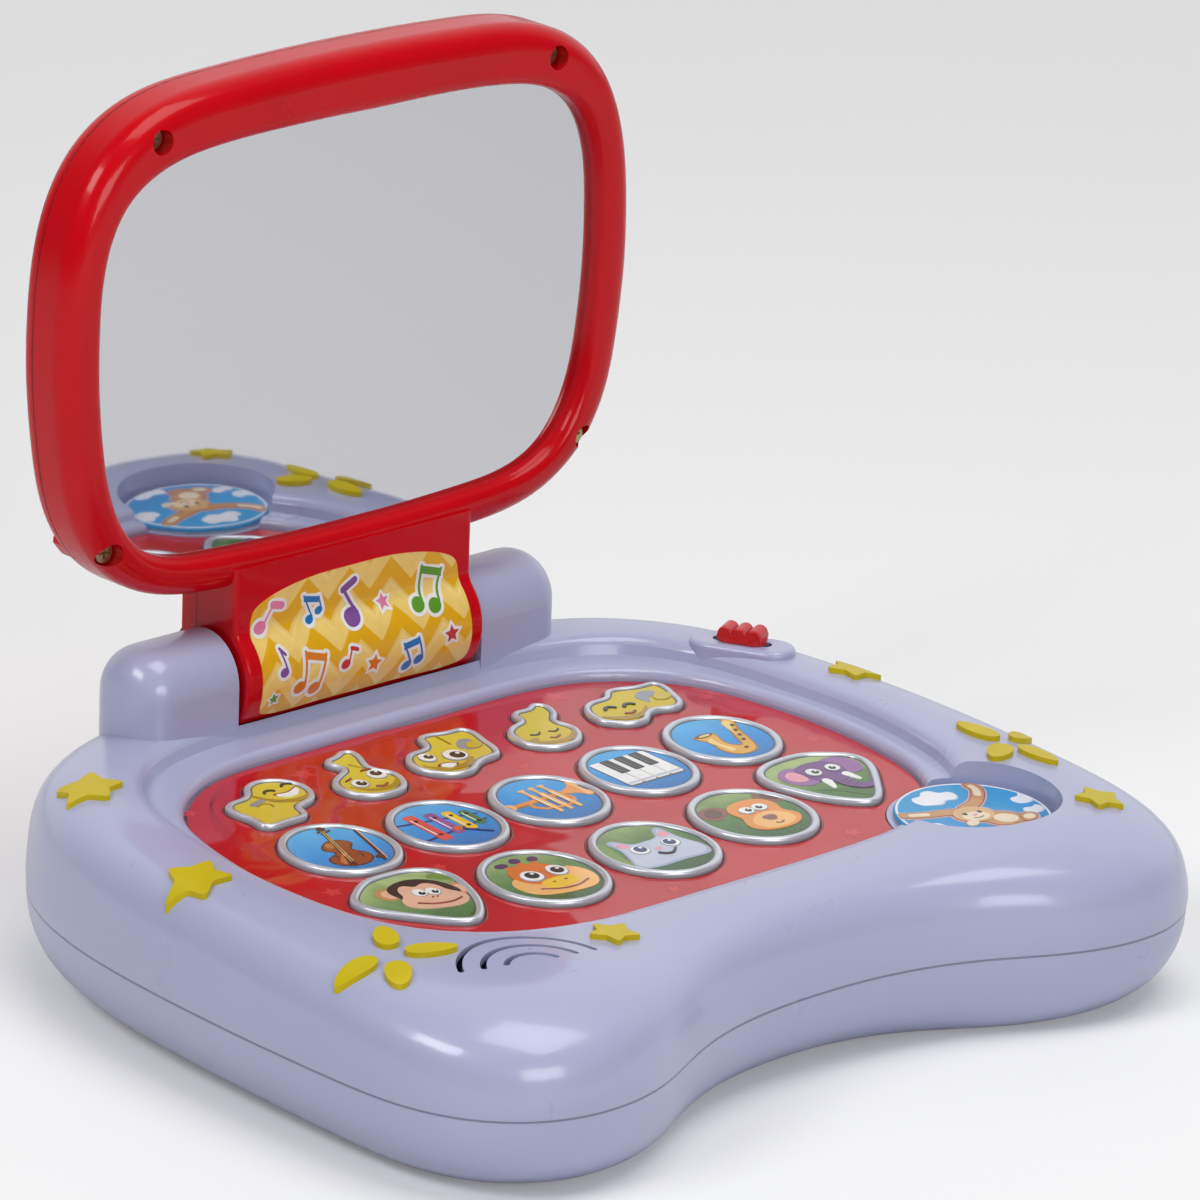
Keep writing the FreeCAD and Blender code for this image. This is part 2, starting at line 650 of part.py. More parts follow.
# (x, y, z) points along each wire
SPEAKER_WIRES = [[(-49, -5, 28.3), (-57, -16, 30.5), (-65, -44, 31), (-72.5, -68, 29.0)],
                 [(-49, -2, 28.3), (-59, -14, 30.5), (-67.5, -43, 31), (-75.5, -67, 29.0)]]
BATTERY_WIRES = [[(40, -12, 25.3), (40, -14, 22.5), (37, -12, 20.2), (34.5, -9, 16)],
                 [(44, -8, 25.3), (44, -11, 22.0), (40, -8, 19.0), (35, -3, 16)]]


def main_circuit_board():
    """A PartDesign body: a rectangle padded up, with through holes."""
    name = "main_circuit_board"
    body = doc.addObject("PartDesign::Body", name)
    outline = body_sketch(body, name + "_outline", "XY_Plane")
    length, width = dim("board_length"), dim("board_width")
    low_y, high_y = BOARD_Y - width / 2, BOARD_Y + width / 2
    add_polygon(outline, [(-length / 2, low_y), (length / 2, low_y),
                          (length / 2, high_y), (-length / 2, high_y)])
    for edge, direction in enumerate(("Horizontal", "Vertical") * 2):
        outline.addConstraint(Sketcher.Constraint(direction, edge))
    for edge, size, alias in ((0, length, "board_length"), (1, width, "board_width")):
        index = outline.addConstraint(Sketcher.Constraint("Distance", edge, size))
        outline.setExpression("Constraints[%d]" % index, "dims." + alias)
    pad = body.newObject("PartDesign::Pad", name + "_pad")
    pad.Profile = outline
    pad.setExpression("Length", "dims.board_thick")
    holes = body_sketch(body, name + "_holes", "XY_Plane")
    for x, y in POSTS:
        holes.addGeometry(Part.Circle(Vector(x, y, 0), Vector(0, 0, 1), BOARD_HOLE), False)
    cut = body.newObject("PartDesign::Pocket", name + "_cut")
    cut.Profile = holes
    cut.Type = 1         # through all
    cut.Reversed = True
    body.Placement = Placement(Vector(0, 0, BOARD_HEIGHT), Rotation())
    NODES.append(body)


def board_components():
    blob = rod(7.0, -12, 4, BOARD_TOP, BOARD_TOP + 1.4)
    blob = blob.makeFillet(1.0, [e for e in blob.Edges if e.BoundBox.ZMin > BOARD_TOP + 1.3])
    blocks = [box(x_min, x_max, y_min, y_max, BOARD_TOP, BOARD_TOP + height)
              for x_min, x_max, y_min, y_max, height in COMPONENTS]
    can = rod(2.5, 34, -8, BOARD_TOP, BOARD_TOP + 4.6)
    return Part.makeCompound([blob] + blocks + [can])


def casing_screw(x, y):
    screw = rod(SCREW_HEAD, x, y, 11.1, 12.95).fuse(rod(SCREW_RADIUS, x, y, 12.95, 32.5))
    return crossed(screw, x, y, 10, 12.1)


def disc_lamp():
    """Lamp under the picture disc: a barrel with a round tip."""
    barrel_height = 4.0
    barrel = primitive("Cylinder", "lamp_barrel", Radius="dims.led_radius",
                       Height=barrel_height)
    tip = primitive("Sphere", "lamp_tip", Placement(Vector(0, 0, barrel_height), Rotation()),
                    Radius="dims.led_radius")
    lamp = doc.addObject("Part::MultiFuse", "disc_lamp")
    lamp.Shapes = [barrel, tip]
    lamp.Placement = PANEL.multiply(Placement(Vector(DISC_X, DISC_Y, -11.0), Rotation()))
    NODES.append(lamp)


def lamp_board():
    length, width = 22.0, 14.0
    corner = Vector(DISC_X - length / 2, DISC_Y - width / 2, -12.25)
    NODES.append(primitive("Box", "lamp_board", PANEL.multiply(Placement(corner, Rotation())),
                           Length=length, Width=width, Height=1.2))


def at_speaker(z):
    return Placement(Vector(SPEAKER_X, SPEAKER_Y, z), Rotation())


def loudspeaker():
    rim, magnet = dim("speaker_radius"), dim("magnet_radius")
    turned("speaker_frame",
           [(magnet + 0.5, 0), (magnet + 3.0, 0), (rim, 4.2), (rim, 5.4), (rim - 1.8, 5.4),
            (rim - 1.8, 4.4), (magnet + 2.4, 0.8), (magnet + 0.5, 0.8)], at_speaker(29.6))
    NODES.append(primitive("Cylinder", "speaker_magnet", at_speaker(24.2),
                           Radius="dims.magnet_radius", Height="dims.magnet_height"))
    turned("speaker_cone",
           [(0, 1.2), (4.5, 1.2), (rim - 2.6, 4.5), (rim - 2.6, 4.9), (4.2, 1.9), (0, 2.4)],
           at_speaker(29.8))


def cable(points):
    curve = Part.BSplineCurve()
    curve.interpolate([Vector(*p) for p in points])
    path = Part.Wire([curve.toShape()])
    tangent = curve.tangent(curve.FirstParameter)[0]
    ring = Part.Wire([Part.makeCircle(CABLE_RADIUS, Vector(*points[0]), tangent)])
    return path.makePipeShell([ring], True, True)


main_circuit_board()
feature("board_components", board_components())
feature("board_screws", Part.makeCompound(
    [rod(0.85, x, y, 20, BOARD_TOP).fuse(rod(2.1, x, y, BOARD_TOP, BOARD_TOP + 1.3))
     for x, y in POSTS]))
feature("casing_screws", Part.makeCompound([casing_screw(x, y) for x, y in BOSSES]))
loudspeaker()
disc_lamp()
lamp_board()
feature("speaker_wires", Part.makeCompound([cable(points) for points in SPEAKER_WIRES]))
feature("battery_wires", Part.makeCompound([cable(points) for points in BATTERY_WIRES]))

# ------------------------------------------------------------ keys and panel
# Everything here lies in the key panel frame; outlines are (x, y) points.
# The egg is drawn about its own middle, as it lies on the right.
EGG = [(-13.4, 10.6), (-8.8, 14.9), (-1.3, 16.3), (5.6, 15.8), (12.0, 12.2), (16.2, 7.6),
       (16.4, 2.6), (13.4, -3.2), (7.9, -10.1), (3.2, -15.0), (-0.6, -16.6), (-5.2, -14.0),
       (-10.2, -7.2), (-13.3, 0.4), (-14.4, 6.4)]
NOTE_ONE = [(-67.1, 38.0), (-64.5, 40.9), (-60, 41.6), (-57.6, 43.0), (-55.0, 46.2),
            (-50.1, 48.0), (-45.2, 46.2), (-42.2, 41.8), (-42.0, 37.0), (-44.4, 32.8),
            (-48.4, 30.6), (-51.4, 29.4), (-52.4, 26.4), (-54.2, 24.5), (-60, 24.0),
            (-65.2, 24.0), (-67.0, 25.6), (-66.8, 29.4), (-67.4, 34)]
NOTE_TWO = [(-37.2, 32.5), (-35.4, 37.2), (-30.9, 40.2), (-28.3, 42.2), (-29.0, 45.6),
            (-28.2, 48.2), (-24.6, 49.4), (-21.4, 50.8), (-18.6, 49.8), (-18.4, 46.2),
            (-20.0, 42.4), (-21.0, 38.9), (-19.0, 34.4), (-19.6, 28.8), (-23.4, 24.6),
            (-28.4, 23.6), (-33.6, 25.2), (-36.6, 28.6)]
NOTE_THREE = [(-13.4, 33.0), (-12.0, 37.4), (-8.2, 40.6), (-3.4, 41.2), (-1.4, 43.6),
              (0.2, 47.0), (3.6, 47.6), (8.6, 46.4), (13.0, 45.8), (14.4, 43.4),
              (13.4, 37.4), (11.8, 31.0), (9.4, 28.0), (5.4, 27.4), (2.2, 26.4),
              (-2.2, 23.8), (-7.2, 24.0), (-11.6, 27.4)]
NOTE_FOUR = [(18.6, 31.8), (20.4, 37.4), (24.6, 40.2), (27.6, 41.4), (28.6, 44.8),
             (31.2, 46.6), (34.8, 46.6), (37.6, 48.0), (40.2, 46.4), (40.2, 42.2),
             (38.2, 38.9), (36.0, 36.6), (36.6, 32.2), (35.0, 26.6), (30.8, 23.2),
             (25.6, 22.8), (21.0, 25.4), (18.8, 29)]
NOTE_FIVE = [(44.0, 32.8), (45.6, 37.6), (50.2, 41.0), (55.6, 41.6), (58.2, 44.0),
             (62.0, 44.3), (68.0, 42.6), (72.6, 42.0), (73.6, 38.8), (72.0, 33.0),
             (69.6, 28.0), (65.8, 26.2), (62.0, 27.4), (58.8, 27.4), (55.4, 24.8),
             (50.2, 24.2), (45.8, 27.2), (44.0, 30)]
INSTRUMENT_KEY = (14.1, 15.2)      # half width, half depth
ANIMAL_KEY = (15.1, 16.4)


def round_key(name, x, y, half_sizes):
    half_width, half_depth = half_sizes
    turns = [2 * math.pi * k / 28 for k in range(28)]
    outline = [(x + half_width * math.cos(a), y + half_depth * math.sin(a)) for a in turns]
    return name, outline, (x, y)


def egg_key(name, side):
    outline = [(side * (63.9 + x), -28.4 + y) for x, y in EGG]
    stem = tuple(sum(values) / len(EGG) for values in zip(*outline))
    return name, outline, stem


# label, outline, stem centre
KEYS = [("key_note_one", NOTE_ONE, (-50.5, 39.0)),
        ("key_note_two", NOTE_TWO, (-28.2, 32.4)),
        ("key_note_three", NOTE_THREE, (-4.6, 32.4)),
        ("key_note_four", NOTE_FOUR, (27.4, 31.8)),
        ("key_note_five", NOTE_FIVE, (53.6, 33.2)),
        round_key("key_violin", -60.8, 5.0, INSTRUMENT_KEY),
        round_key("key_xylophone", -30.5, 1.8, INSTRUMENT_KEY),
        round_key("key_trumpet", 0, 0, INSTRUMENT_KEY),
        round_key("key_piano", 30.5, 1.8, INSTRUMENT_KEY),
        round_key("key_saxophone", 60.8, 5.0, INSTRUMENT_KEY),
        egg_key("key_monkey", -1),
        round_key("key_giraffe", -33.2, -34.7, ANIMAL_KEY),
        round_key("key_cat", 0, -36.5, ANIMAL_KEY),
        round_key("key_dog", 33.2, -34.7, ANIMAL_KEY),
        egg_key("key_elephant", 1)]


def offset_outline(points, distance):
    """Sixty points of the outline, moved outwards along its normals."""
    count = 120
    fine = closed_spline(points).discretize(count + 1)[:-1]
    area = sum(fine[i].x * fine[(i + 1) % count].y - fine[(i + 1) % count].x * fine[i].y
               for i in range(count))
    moved = []
    for i in range(count):
        along = fine[(i + 1) % count] - fine[i - 1]
        normal = Vector(along.y, -along.x, 0) if area > 0 else Vector(-along.y, along.x, 0)
        normal.normalize()
        moved.append((fine[i].x + normal.x * distance, fine[i].y + normal.y * distance))
    return moved[::2]


def key(outline, stem):
    cap = plate(outline, -1.2, KEY_RISE)
    cap = fillet(cap, 0.45, lambda e: e.BoundBox.ZMin > KEY_RISE - 0.01)
    return cap.fuse(rod(3.0, *stem, -2.4, -1.2)).removeSplitter()


def key_panel_overlay():
    overlay = plate(offset_outline(full(POCKET), -0.65), SEAT, 0.0)
    overlay = fillet(overlay, 0.3, lambda e: e.BoundBox.ZMin > -0.01)
    holes = [plate(offset_outline(outline, dim("key_gap")), -6, 6) for _, outline, _ in KEYS]
    return largest(overlay.cut(holes + [rod(DISC_RADIUS + 1.75, DISC_X, DISC_Y, -6, 6)]))


def key_membrane_sheet():
    """Sheet in the bottom of the pocket with a flex tail going down."""
    outline = [(x * 0.94, y * 0.94) for x, y in full(POCKET)]
    sheet = plate(outline, WELL, WELL + dim("sheet_thick"))
    sheet = sheet.cut(rod(DISC_RADIUS + 2.2, DISC_X, DISC_Y, -6, 6))
    tail = box(-8, 8, 49.9, 50.2, -11.5, WELL + 0.2)
    return largest(sheet.fuse(tail).removeSplitter())


for label, outline, stem in KEYS:
    feature(label, key(outline, stem), PANEL)
feature("key_panel_overlay", key_panel_overlay(), PANEL)
feature("key_membrane_sheet", key_membrane_sheet(), PANEL)
feature("picture_disc", fillet(rod(DISC_RADIUS, DISC_X, DISC_Y, 0.35, 2.0), 0.6,
                               lambda e: e.BoundBox.ZMin > 1.99), PANEL)

# ------------------------------------------------- raised stars and petals
# x, y, tip radius, turn in degrees
STARS = [(-109.5, -1, 8.8, 100), (-95, 54.5, 8.8, 120), (-52.5, -78.5, 6.6, 95),
         (97.5, -85.0, 6.6, 80), (108.0, 8.5, 7.4, 85)]
# flower centre x, y; then per petal: direction in degrees, distance, length, width
FLOWERS = [(-103.0, -60.5, [(58, 9.0, 10.5, 5.8), (-21, 9.3, 12.5, 5.2),
                            (-122, 9.0, 10.0, 6.0), (172, 9.6, 11.0, 5.6)]),
           (104.5, -48.0, [(98, 9.3, 12.5, 5.4), (22, 7.6, 9.0, 5.0),
                           (-86, 9.3, 12.0, 5.2), (-152, 8.0, 9.5, 6.0)])]


def star(centre_x, centre_y, tip_radius, turn):
    points = []
    for k in range(10):
        radius = tip_radius if k % 2 == 0 else tip_radius * 0.55
        angle = math.radians(turn + 36 * k)
        points.append(Vector(centre_x + radius * math.cos(angle),
                             centre_y + radius * math.sin(angle), 20))
    prism = Part.Face(Part.makePolygon(points + [points[0]])).extrude(Vector(0, 0, 50))
    upright = [e for e in prism.Edges if e.BoundBox.ZLength > 45]
    return prism.makeFillet(tip_radius * 0.09, upright)


def petal(flower_x, flower_y, direction, distance, length, width):
    angle = math.radians(direction)
    cos, sin = math.cos(angle), math.sin(angle)
    centre_x = flower_x + distance * cos
    centre_y = flower_y + distance * sin
    points = []
    for k in range(20):
        turn = 2 * math.pi * k / 20
        along = length / 2 * math.cos(turn)
        across = width / 2 * math.sin(turn) * (1 - 0.18 * math.cos(turn))
        points.append((centre_x + along * cos - across * sin,
                       centre_y + along * sin + across * cos))
    return plate(points, 20, 70)


RAISED_SKIN = skin_body(dim("decor_rise"))
stars = [star(*row) for row in STARS]
petals = [petal(x, y, *row) for x, y, rows in FLOWERS for row in rows]
for label, prisms in (("raised_stars", stars), ("raised_petals", petals)):
    feature(label, Part.makeCompound(prisms).common(RAISED_SKIN).cut(OUTER_SKIN))


# ------------------------------------------------------------- slide switch
def slide_switch_knob():
    """Oval knob with three round ribs and a stem going down."""
    rib_radius, rib_z = 1.95, 5.12
    ribs = []
    for x in (-3.7, 0.0, 3.7):
        rib = Part.makeCylinder(rib_radius, 6.0, Vector(x, -3.0, rib_z), Vector(0, 1, 0))
        rib = rib.makeFillet(0.55, [e for e in rib.Edges if e.BoundBox.YLength < 0.01])
        ribs.append(rib.fuse(box(x - rib_radius, x + rib_radius, -3.0, 3.0, 4.0, rib_z)))
    stem = box(-3.2, 3.2, -1.5, 1.5, -5.0, 3.6)
    return oval(12.6, 6.6, 3.15, 4.4).fuse(ribs + [stem]).removeSplitter()


feature("slide_switch_knob", slide_switch_knob(), SWITCH)
NODES.append(primitive("Box", "slide_switch_body",
                       SWITCH.multiply(Placement(Vector(-9, -1.9, -11.4), Rotation())),
                       Length=18.0, Width=6.0, Height=6.0))

# ---------------------------------------------------------------------- lid
ARM_FRONT_Y = 70.5       # front face of the arm
CREASE_RADIUS = 5.0      # hollow between the arm's front face and the knuckle
SPLIT_Y = dim("mirror_plane") + LID_SPLIT
BACK_Y = dim("mirror_plane") + LID_BACK
SPLIT_GAP = 0.02
LID_SCREWS = [(-61.8, 194.9), (61.8, 194.9), (-74.6, 96.9), (74.6, 96.9)]    # x, height
LID_BOSS = 3.9
# where the arm joins the lid, kept solid; lid frame
ARM_ZONE = box(-38, 38, 60, 92, -20, 5)


def radial(half, distance):
    """Whole outline moved outwards from the middle of the lid."""
    centre = 140.0
    moved = []
    for x, y in full(half):
        radius = math.hypot(x, y - centre)
        moved.append((x * (radius + distance) / radius,
                      centre + (y - centre) * (radius + distance) / radius))
    return moved


def around(y, z, radius, angle):
    return Vector(0, y + radius * math.cos(angle), z + radius * math.sin(angle))


def arm_solid(grow, top, back_y, half_width):
    """Arm profile across X: flat front, soft crease, round knuckle."""
    front_y = ARM_FRONT_Y - grow
    knuckle = KNUCKLE + grow
    crease_y = ARM_FRONT_Y - CREASE_RADIUS
    crease_z = HINGE_Z + math.sqrt((KNUCKLE + CREASE_RADIUS) ** 2 - (HINGE_Y - crease_y) ** 2)
    crease_end = math.atan2(HINGE_Z - crease_z, HINGE_Y - crease_y)
    start = math.atan2(crease_z - HINGE_Z, crease_y - HINGE_Y)
    end = -math.acos((back_y - HINGE_Y) / knuckle)
    middle = (start + 2 * math.pi + end) / 2.0
    front_top = Vector(0, front_y, top)
    front_foot = Vector(0, front_y, crease_z)
    crease_middle = around(crease_y, crease_z, CREASE_RADIUS - grow, crease_end / 2.0)
    knuckle_start, knuckle_middle, knuckle_end = [
        around(HINGE_Y, HINGE_Z, knuckle, angle) for angle in (start, middle, end)]
    back_top = Vector(0, back_y, top)
    edges = [Part.LineSegment(front_top, front_foot),
             Part.Arc(front_foot, crease_middle, knuckle_start),
             Part.Arc(knuckle_start, knuckle_middle, knuckle_end),
             Part.LineSegment(knuckle_end, back_top),
             Part.LineSegment(back_top, front_top)]
    face = Part.Face(Part.Wire([edge.toShape() for edge in edges]))
    face.translate(Vector(-half_width, 0, 0))
    return face.extrude(Vector(2 * half_width, 0, 0))


def front_arm():
    arm = arm_solid(0.0, 86.0, SPLIT_Y, ARM_HALF)
    arm = fillet(arm, 1.3, lambda e: abs(abs(e.BoundBox.XMin) - ARM_HALF) < 0.01
                 and e.BoundBox.XLength < 0.01 and e.BoundBox.YMin < SPLIT_Y - 1
                 and not e.BoundBox.ZMin > 85)
    return placed(arm, LID.inverse())


def lid_front_frame():
    """Front half of the lid with the mirror opening and the arm."""
    whole = full(LID_EDGE)
    frame = plate(whole, -LID_SPLIT, LID_FRONT)
    frame = fillet(frame, 6.0, lambda e: e.BoundBox.ZMin > LID_FRONT - 0.01)
    frame = frame.cut(plate(full(MIRROR), -1.0, 20))
    frame = fillet(frame, 3.0, lambda e: e.BoundBox.ZMin > LID_FRONT - 0.01
                   and e.BoundBox.XLength < 158)
    rebate = plate(radial(MIRROR, 3.1), -2.25, 0.0)
    frame = frame.cut(rebate)
    hollow = plate(radial(LID_EDGE, -2.4), -LID_SPLIT - 1, -2.25)
    frame = frame.cut(hollow.cut(ARM_ZONE))
    bosses = [rod(LID_BOSS, x, y, -LID_SPLIT, -1.0).common(plate(whole, -LID_SPLIT, 0))
              for x, y in LID_SCREWS]
    frame = frame.fuse([front_arm()] + bosses)
    # the arm and bosses must not fill the mirror's place
    frame = frame.cut(rebate)
    frame = frame.cut(plate(full(MIRROR), -0.5, 20))
    cuts = []
    for x, y in LID_SCREWS:
        cuts.append(rod(3.0, x, y, -1.0, 20))
        cuts.append(rod(1.55, x, y, -30, 2))
    for x_min, x_max in ((19.0, ARM_HALF + 1), (-ARM_HALF - 1, -19.0)):
        bore = rod_x(PIN_RADIUS + 0.01, x_min, x_max, HINGE_Y, HINGE_Z)
        cuts.append(placed(bore, LID.inverse()))
    return largest(frame.cut(cuts))


def rear_arm():
    front_y = SPLIT_Y + SPLIT_GAP
    knuckle = rod_x(KNUCKLE, -ARM_HALF, ARM_HALF, HINGE_Y, HINGE_Z)
    knuckle = knuckle.common(box(-ARM_HALF, ARM_HALF, front_y, 110, 0, 100))
    arm = box(-ARM_HALF, ARM_HALF, front_y, BACK_Y, HINGE_Z, 86).fuse(knuckle).removeSplitter()
    arm = fillet(arm, 1.3, lambda e: e.BoundBox.XLength < 0.01
                 and e.BoundBox.YMin > SPLIT_Y + 0.5 and e.BoundBox.ZMax < 85.9)
    return placed(arm, LID.inverse())


def lid_rear_cover():
    whole = full(LID_EDGE)
    front = -LID_SPLIT - SPLIT_GAP
    cover = plate(whole, -LID_BACK, front)
    cover = fillet(cover, 4.6, lambda e: e.BoundBox.ZMax < -LID_BACK + 0.01)
    cover = cover.cut(plate(radial(LID_EDGE, -2.2), -LID_BACK + 2.2, 0).cut(ARM_ZONE))
    bosses = [rod(LID_BOSS, x, y, -LID_BACK + 1.0, front).common(
        plate(whole, -LID_BACK + 1.0, 0)) for x, y in LID_SCREWS]
    cover = cover.fuse([rear_arm()] + bosses)
    return largest(cover.cut([rod(1.35, x, y, -12.6, 0) for x, y in LID_SCREWS]))


def lid_screw(x, y):
    screw = rod(2.5, x, y, -0.98, 0.9).fuse(rod(SCREW_RADIUS, x, y, -12.0, -0.98))
    return crossed(screw, x, y, -0.1, 2.0)


def note_sticker():
    """Thin film that follows the front face of the arm."""
    film = arm_solid(0.22, 85, SPLIT_Y, ARM_HALF - 1.5)
    film = film.cut(arm_solid(0.015, 86, SPLIT_Y + 1, ARM_HALF))
    film = film.common(placed(plate(full(STICKER), -20, 20), LID))
    return largest(film.common(box(-50, 50, 60, 72, 40, 90)))


def hinge_friction_washers():
    """A washer in each gap between arm and tower."""
    ring = rod_x(6.6, ARM_HALF + 0.08, TOWER_INNER - 0.1, HINGE_Y, HINGE_Z)
    ring = ring.cut(rod_x(PIN_RADIUS + 0.05, ARM_HALF - 1, ARM_HALF + 3, HINGE_Y, HINGE_Z))
    return Part.makeCompound([ring, mirror_x(ring)])


feature("lid_front_frame", lid_front_frame(), LID)
feature("lid_rear_cover", lid_rear_cover(), LID)
feature("mirror_sheet", plate(radial(MIRROR, 2.9), -2.05, -0.02), LID)
feature("lid_screws", Part.makeCompound([lid_screw(x, y) for x, y in LID_SCREWS]), LID)
feature("note_sticker", note_sticker())
for side, label in ((1, "hinge_pin_right"), (-1, "hinge_pin_left")):
    axis = Placement(Vector(19.2 * side, HINGE_Y, HINGE_Z),
                     Rotation(Vector(0, 1, 0), 90 * side))
    NODES.append(primitive("Cylinder", label, axis, Radius="dims.pin_radius", Height=30.0))
feature("hinge_friction_washers", hinge_friction_washers())

# ------------------------------------------------------------ check and write
doc.recompute()
problems = [obj.Name for obj in doc.Objects if "Invalid" in obj.State or "Error" in obj.State]
for obj in NODES:
    if obj.Shape.isNull() or not obj.Shape.isValid():
        problems.append(obj.Label + " shape")
    if not obj.Shape.Solids:
        problems.append(obj.Label + " empty")
if problems:
    raise SystemExit("not written: %s" % problems)
os.makedirs("parts", exist_ok=True)
for obj in NODES:
    obj.Shape.exportStep("parts/%s.step" % obj.Label)
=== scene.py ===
# Musical toy: a base with a red panel of fifteen picture keys, a picture disc and a lid.
# X runs across the keys, Y from the front edge (-Y) towards the lid, Z up.
# The panel rises 2 degrees towards +Y. Printed shapes are laid out in mm, and built in metres.
import json
import math

import bmesh
import bpy
import numpy as np
from mathutils import Matrix, Vector
from mathutils.bvhtree import BVHTree


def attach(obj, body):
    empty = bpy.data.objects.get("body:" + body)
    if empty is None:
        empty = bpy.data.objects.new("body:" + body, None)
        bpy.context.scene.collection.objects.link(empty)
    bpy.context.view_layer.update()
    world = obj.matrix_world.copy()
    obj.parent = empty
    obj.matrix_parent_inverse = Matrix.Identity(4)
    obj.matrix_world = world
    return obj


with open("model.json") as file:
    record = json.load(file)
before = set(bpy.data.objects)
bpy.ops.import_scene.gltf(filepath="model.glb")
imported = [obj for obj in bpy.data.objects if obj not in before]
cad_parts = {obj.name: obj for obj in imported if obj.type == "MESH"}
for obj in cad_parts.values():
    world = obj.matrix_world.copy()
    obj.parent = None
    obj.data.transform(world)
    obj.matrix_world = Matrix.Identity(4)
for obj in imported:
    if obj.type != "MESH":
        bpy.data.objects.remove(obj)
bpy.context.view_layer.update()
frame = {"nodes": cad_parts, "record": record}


PARTS = frame["nodes"]

PANEL_TILT = math.radians(2.0)
TILT_COS, TILT_SIN = math.cos(PANEL_TILT), math.sin(PANEL_TILT)
PANEL_HEIGHT = 40.0             # panel surface at y = 0, mm
KEY_TOP = 0.9                   # key face above the panel, mm
DISC_TOP = 2.0                  # disc face above the panel, mm
DISC_X, DISC_Y = 75.5, -65.5    # disc centre on the panel, mm
ART_X, ART_Y = 1.4, 1.5         # offset of every key picture, mm
PRINT_FOOT = -0.15              # buried foot of the shapes printed on the panel, mm
PANEL_PRINT_TOP = 0.04


# ---------------------------------------------------------------- materials
def lin(r, g, b):
    """8-bit sRGB to linear."""
    out = []
    for c in (r, g, b):
        c = c / 255.0
        out.append(c / 12.92 if c <= 0.04045 else ((c + 0.055) / 1.055) ** 2.4)
    return out


def tint(rgb, factor):
    return [max(0.0, min(1.0, c * factor)) for c in rgb]


class Graph:
    """A Principled material whose textures follow object coordinates, in metres."""

    def __init__(self, name):
        self.material = bpy.data.materials.new(name)
        self.material.use_nodes = True
        self.tree = self.material.node_tree
        self.tree.nodes.clear()
        output = self.node("OutputMaterial")
        self.shader = self.node("BsdfPrincipled")
        self.tree.links.new(self.shader.outputs[0], output.inputs[0])
        self.place = self.node("TexCoord").outputs["Object"]
        self.split = None

    def node(self, kind):
        return self.tree.nodes.new("ShaderNode" + kind)

    def axis(self, letter):
        if self.split is None:
            self.split = self.node("SeparateXYZ")
            self.put(self.split.inputs[0], self.place)
        return self.split.outputs[letter]

    def put(self, socket, value):
        """Link or set a socket. A linear colour gains its alpha."""
        if isinstance(value, bpy.types.NodeSocket):
            self.tree.links.new(value, socket)
        elif isinstance(value, (list, tuple)) and len(value) == 3 and socket.type == "RGBA":
            socket.default_value = (*value, 1.0)
        else:
            socket.default_value = value

    def set(self, **values):
        """Set shader inputs, with underscores for spaces. Returns the material."""
        for name, value in values.items():
            self.put(self.shader.inputs[name.replace("_", " ")], value)
        return self.material

    def math(self, operation, a, b=0.0):
        node = self.node("Math")
        node.operation = operation
        self.put(node.inputs[0], a)
        self.put(node.inputs[1], b)
        return node.outputs[0]

    def add(self, a, b):
        return self.math("ADD", a, b)

    def times(self, a, b):
        return self.math("MULTIPLY", a, b)

    def texture(self, kind, place=None, **values):
        node = self.node("Tex" + kind)
        self.put(node.inputs["Vector"], place or self.place)
        for name, value in values.items():
            self.put(node.inputs[name.replace("_", " ")], value)
        return node.outputs

    def noise(self, scale, detail=2.0, rough=0.5, stretch=None):
        place = None
        if stretch:
            mapping = self.node("Mapping")
            self.put(mapping.inputs[0], self.place)
            mapping.inputs["Scale"].default_value = stretch
            place = mapping.outputs[0]
        return self.texture("Noise", place, Scale=scale, Detail=detail, Roughness=rough)["Fac"]

    def dots(self, low, high):
        """Half-tone dots."""
        return self.remap(self.texture("Voronoi", Scale=2600.0)["Distance"], low, high)

    def remap(self, value, low, high, to=(0.0, 1.0)):
        node = self.node("MapRange")
        node.clamp = True
        for i, setting in enumerate((value, low, high, *to)):
            self.put(node.inputs[i], setting)
        return node.outputs[0]

    def mix(self, factor, a, b):
        node = self.node("Mix")
        node.data_type = "RGBA"
        # 0 is the factor, 6 and 7 are the colour inputs
        for i, value in ((0, factor), (6, a), (7, b)):
            self.put(node.inputs[i], value)
        return node.outputs[2]

    def bump(self, height, depth, under=None):
        node = self.node("Bump")
        node.inputs["Strength"].default_value = 1.0
        node.inputs["Distance"].default_value = depth
        self.put(node.inputs["Height"], height)
        if under is not None:
            self.put(node.inputs["Normal"], under)
        return node.outputs[0]


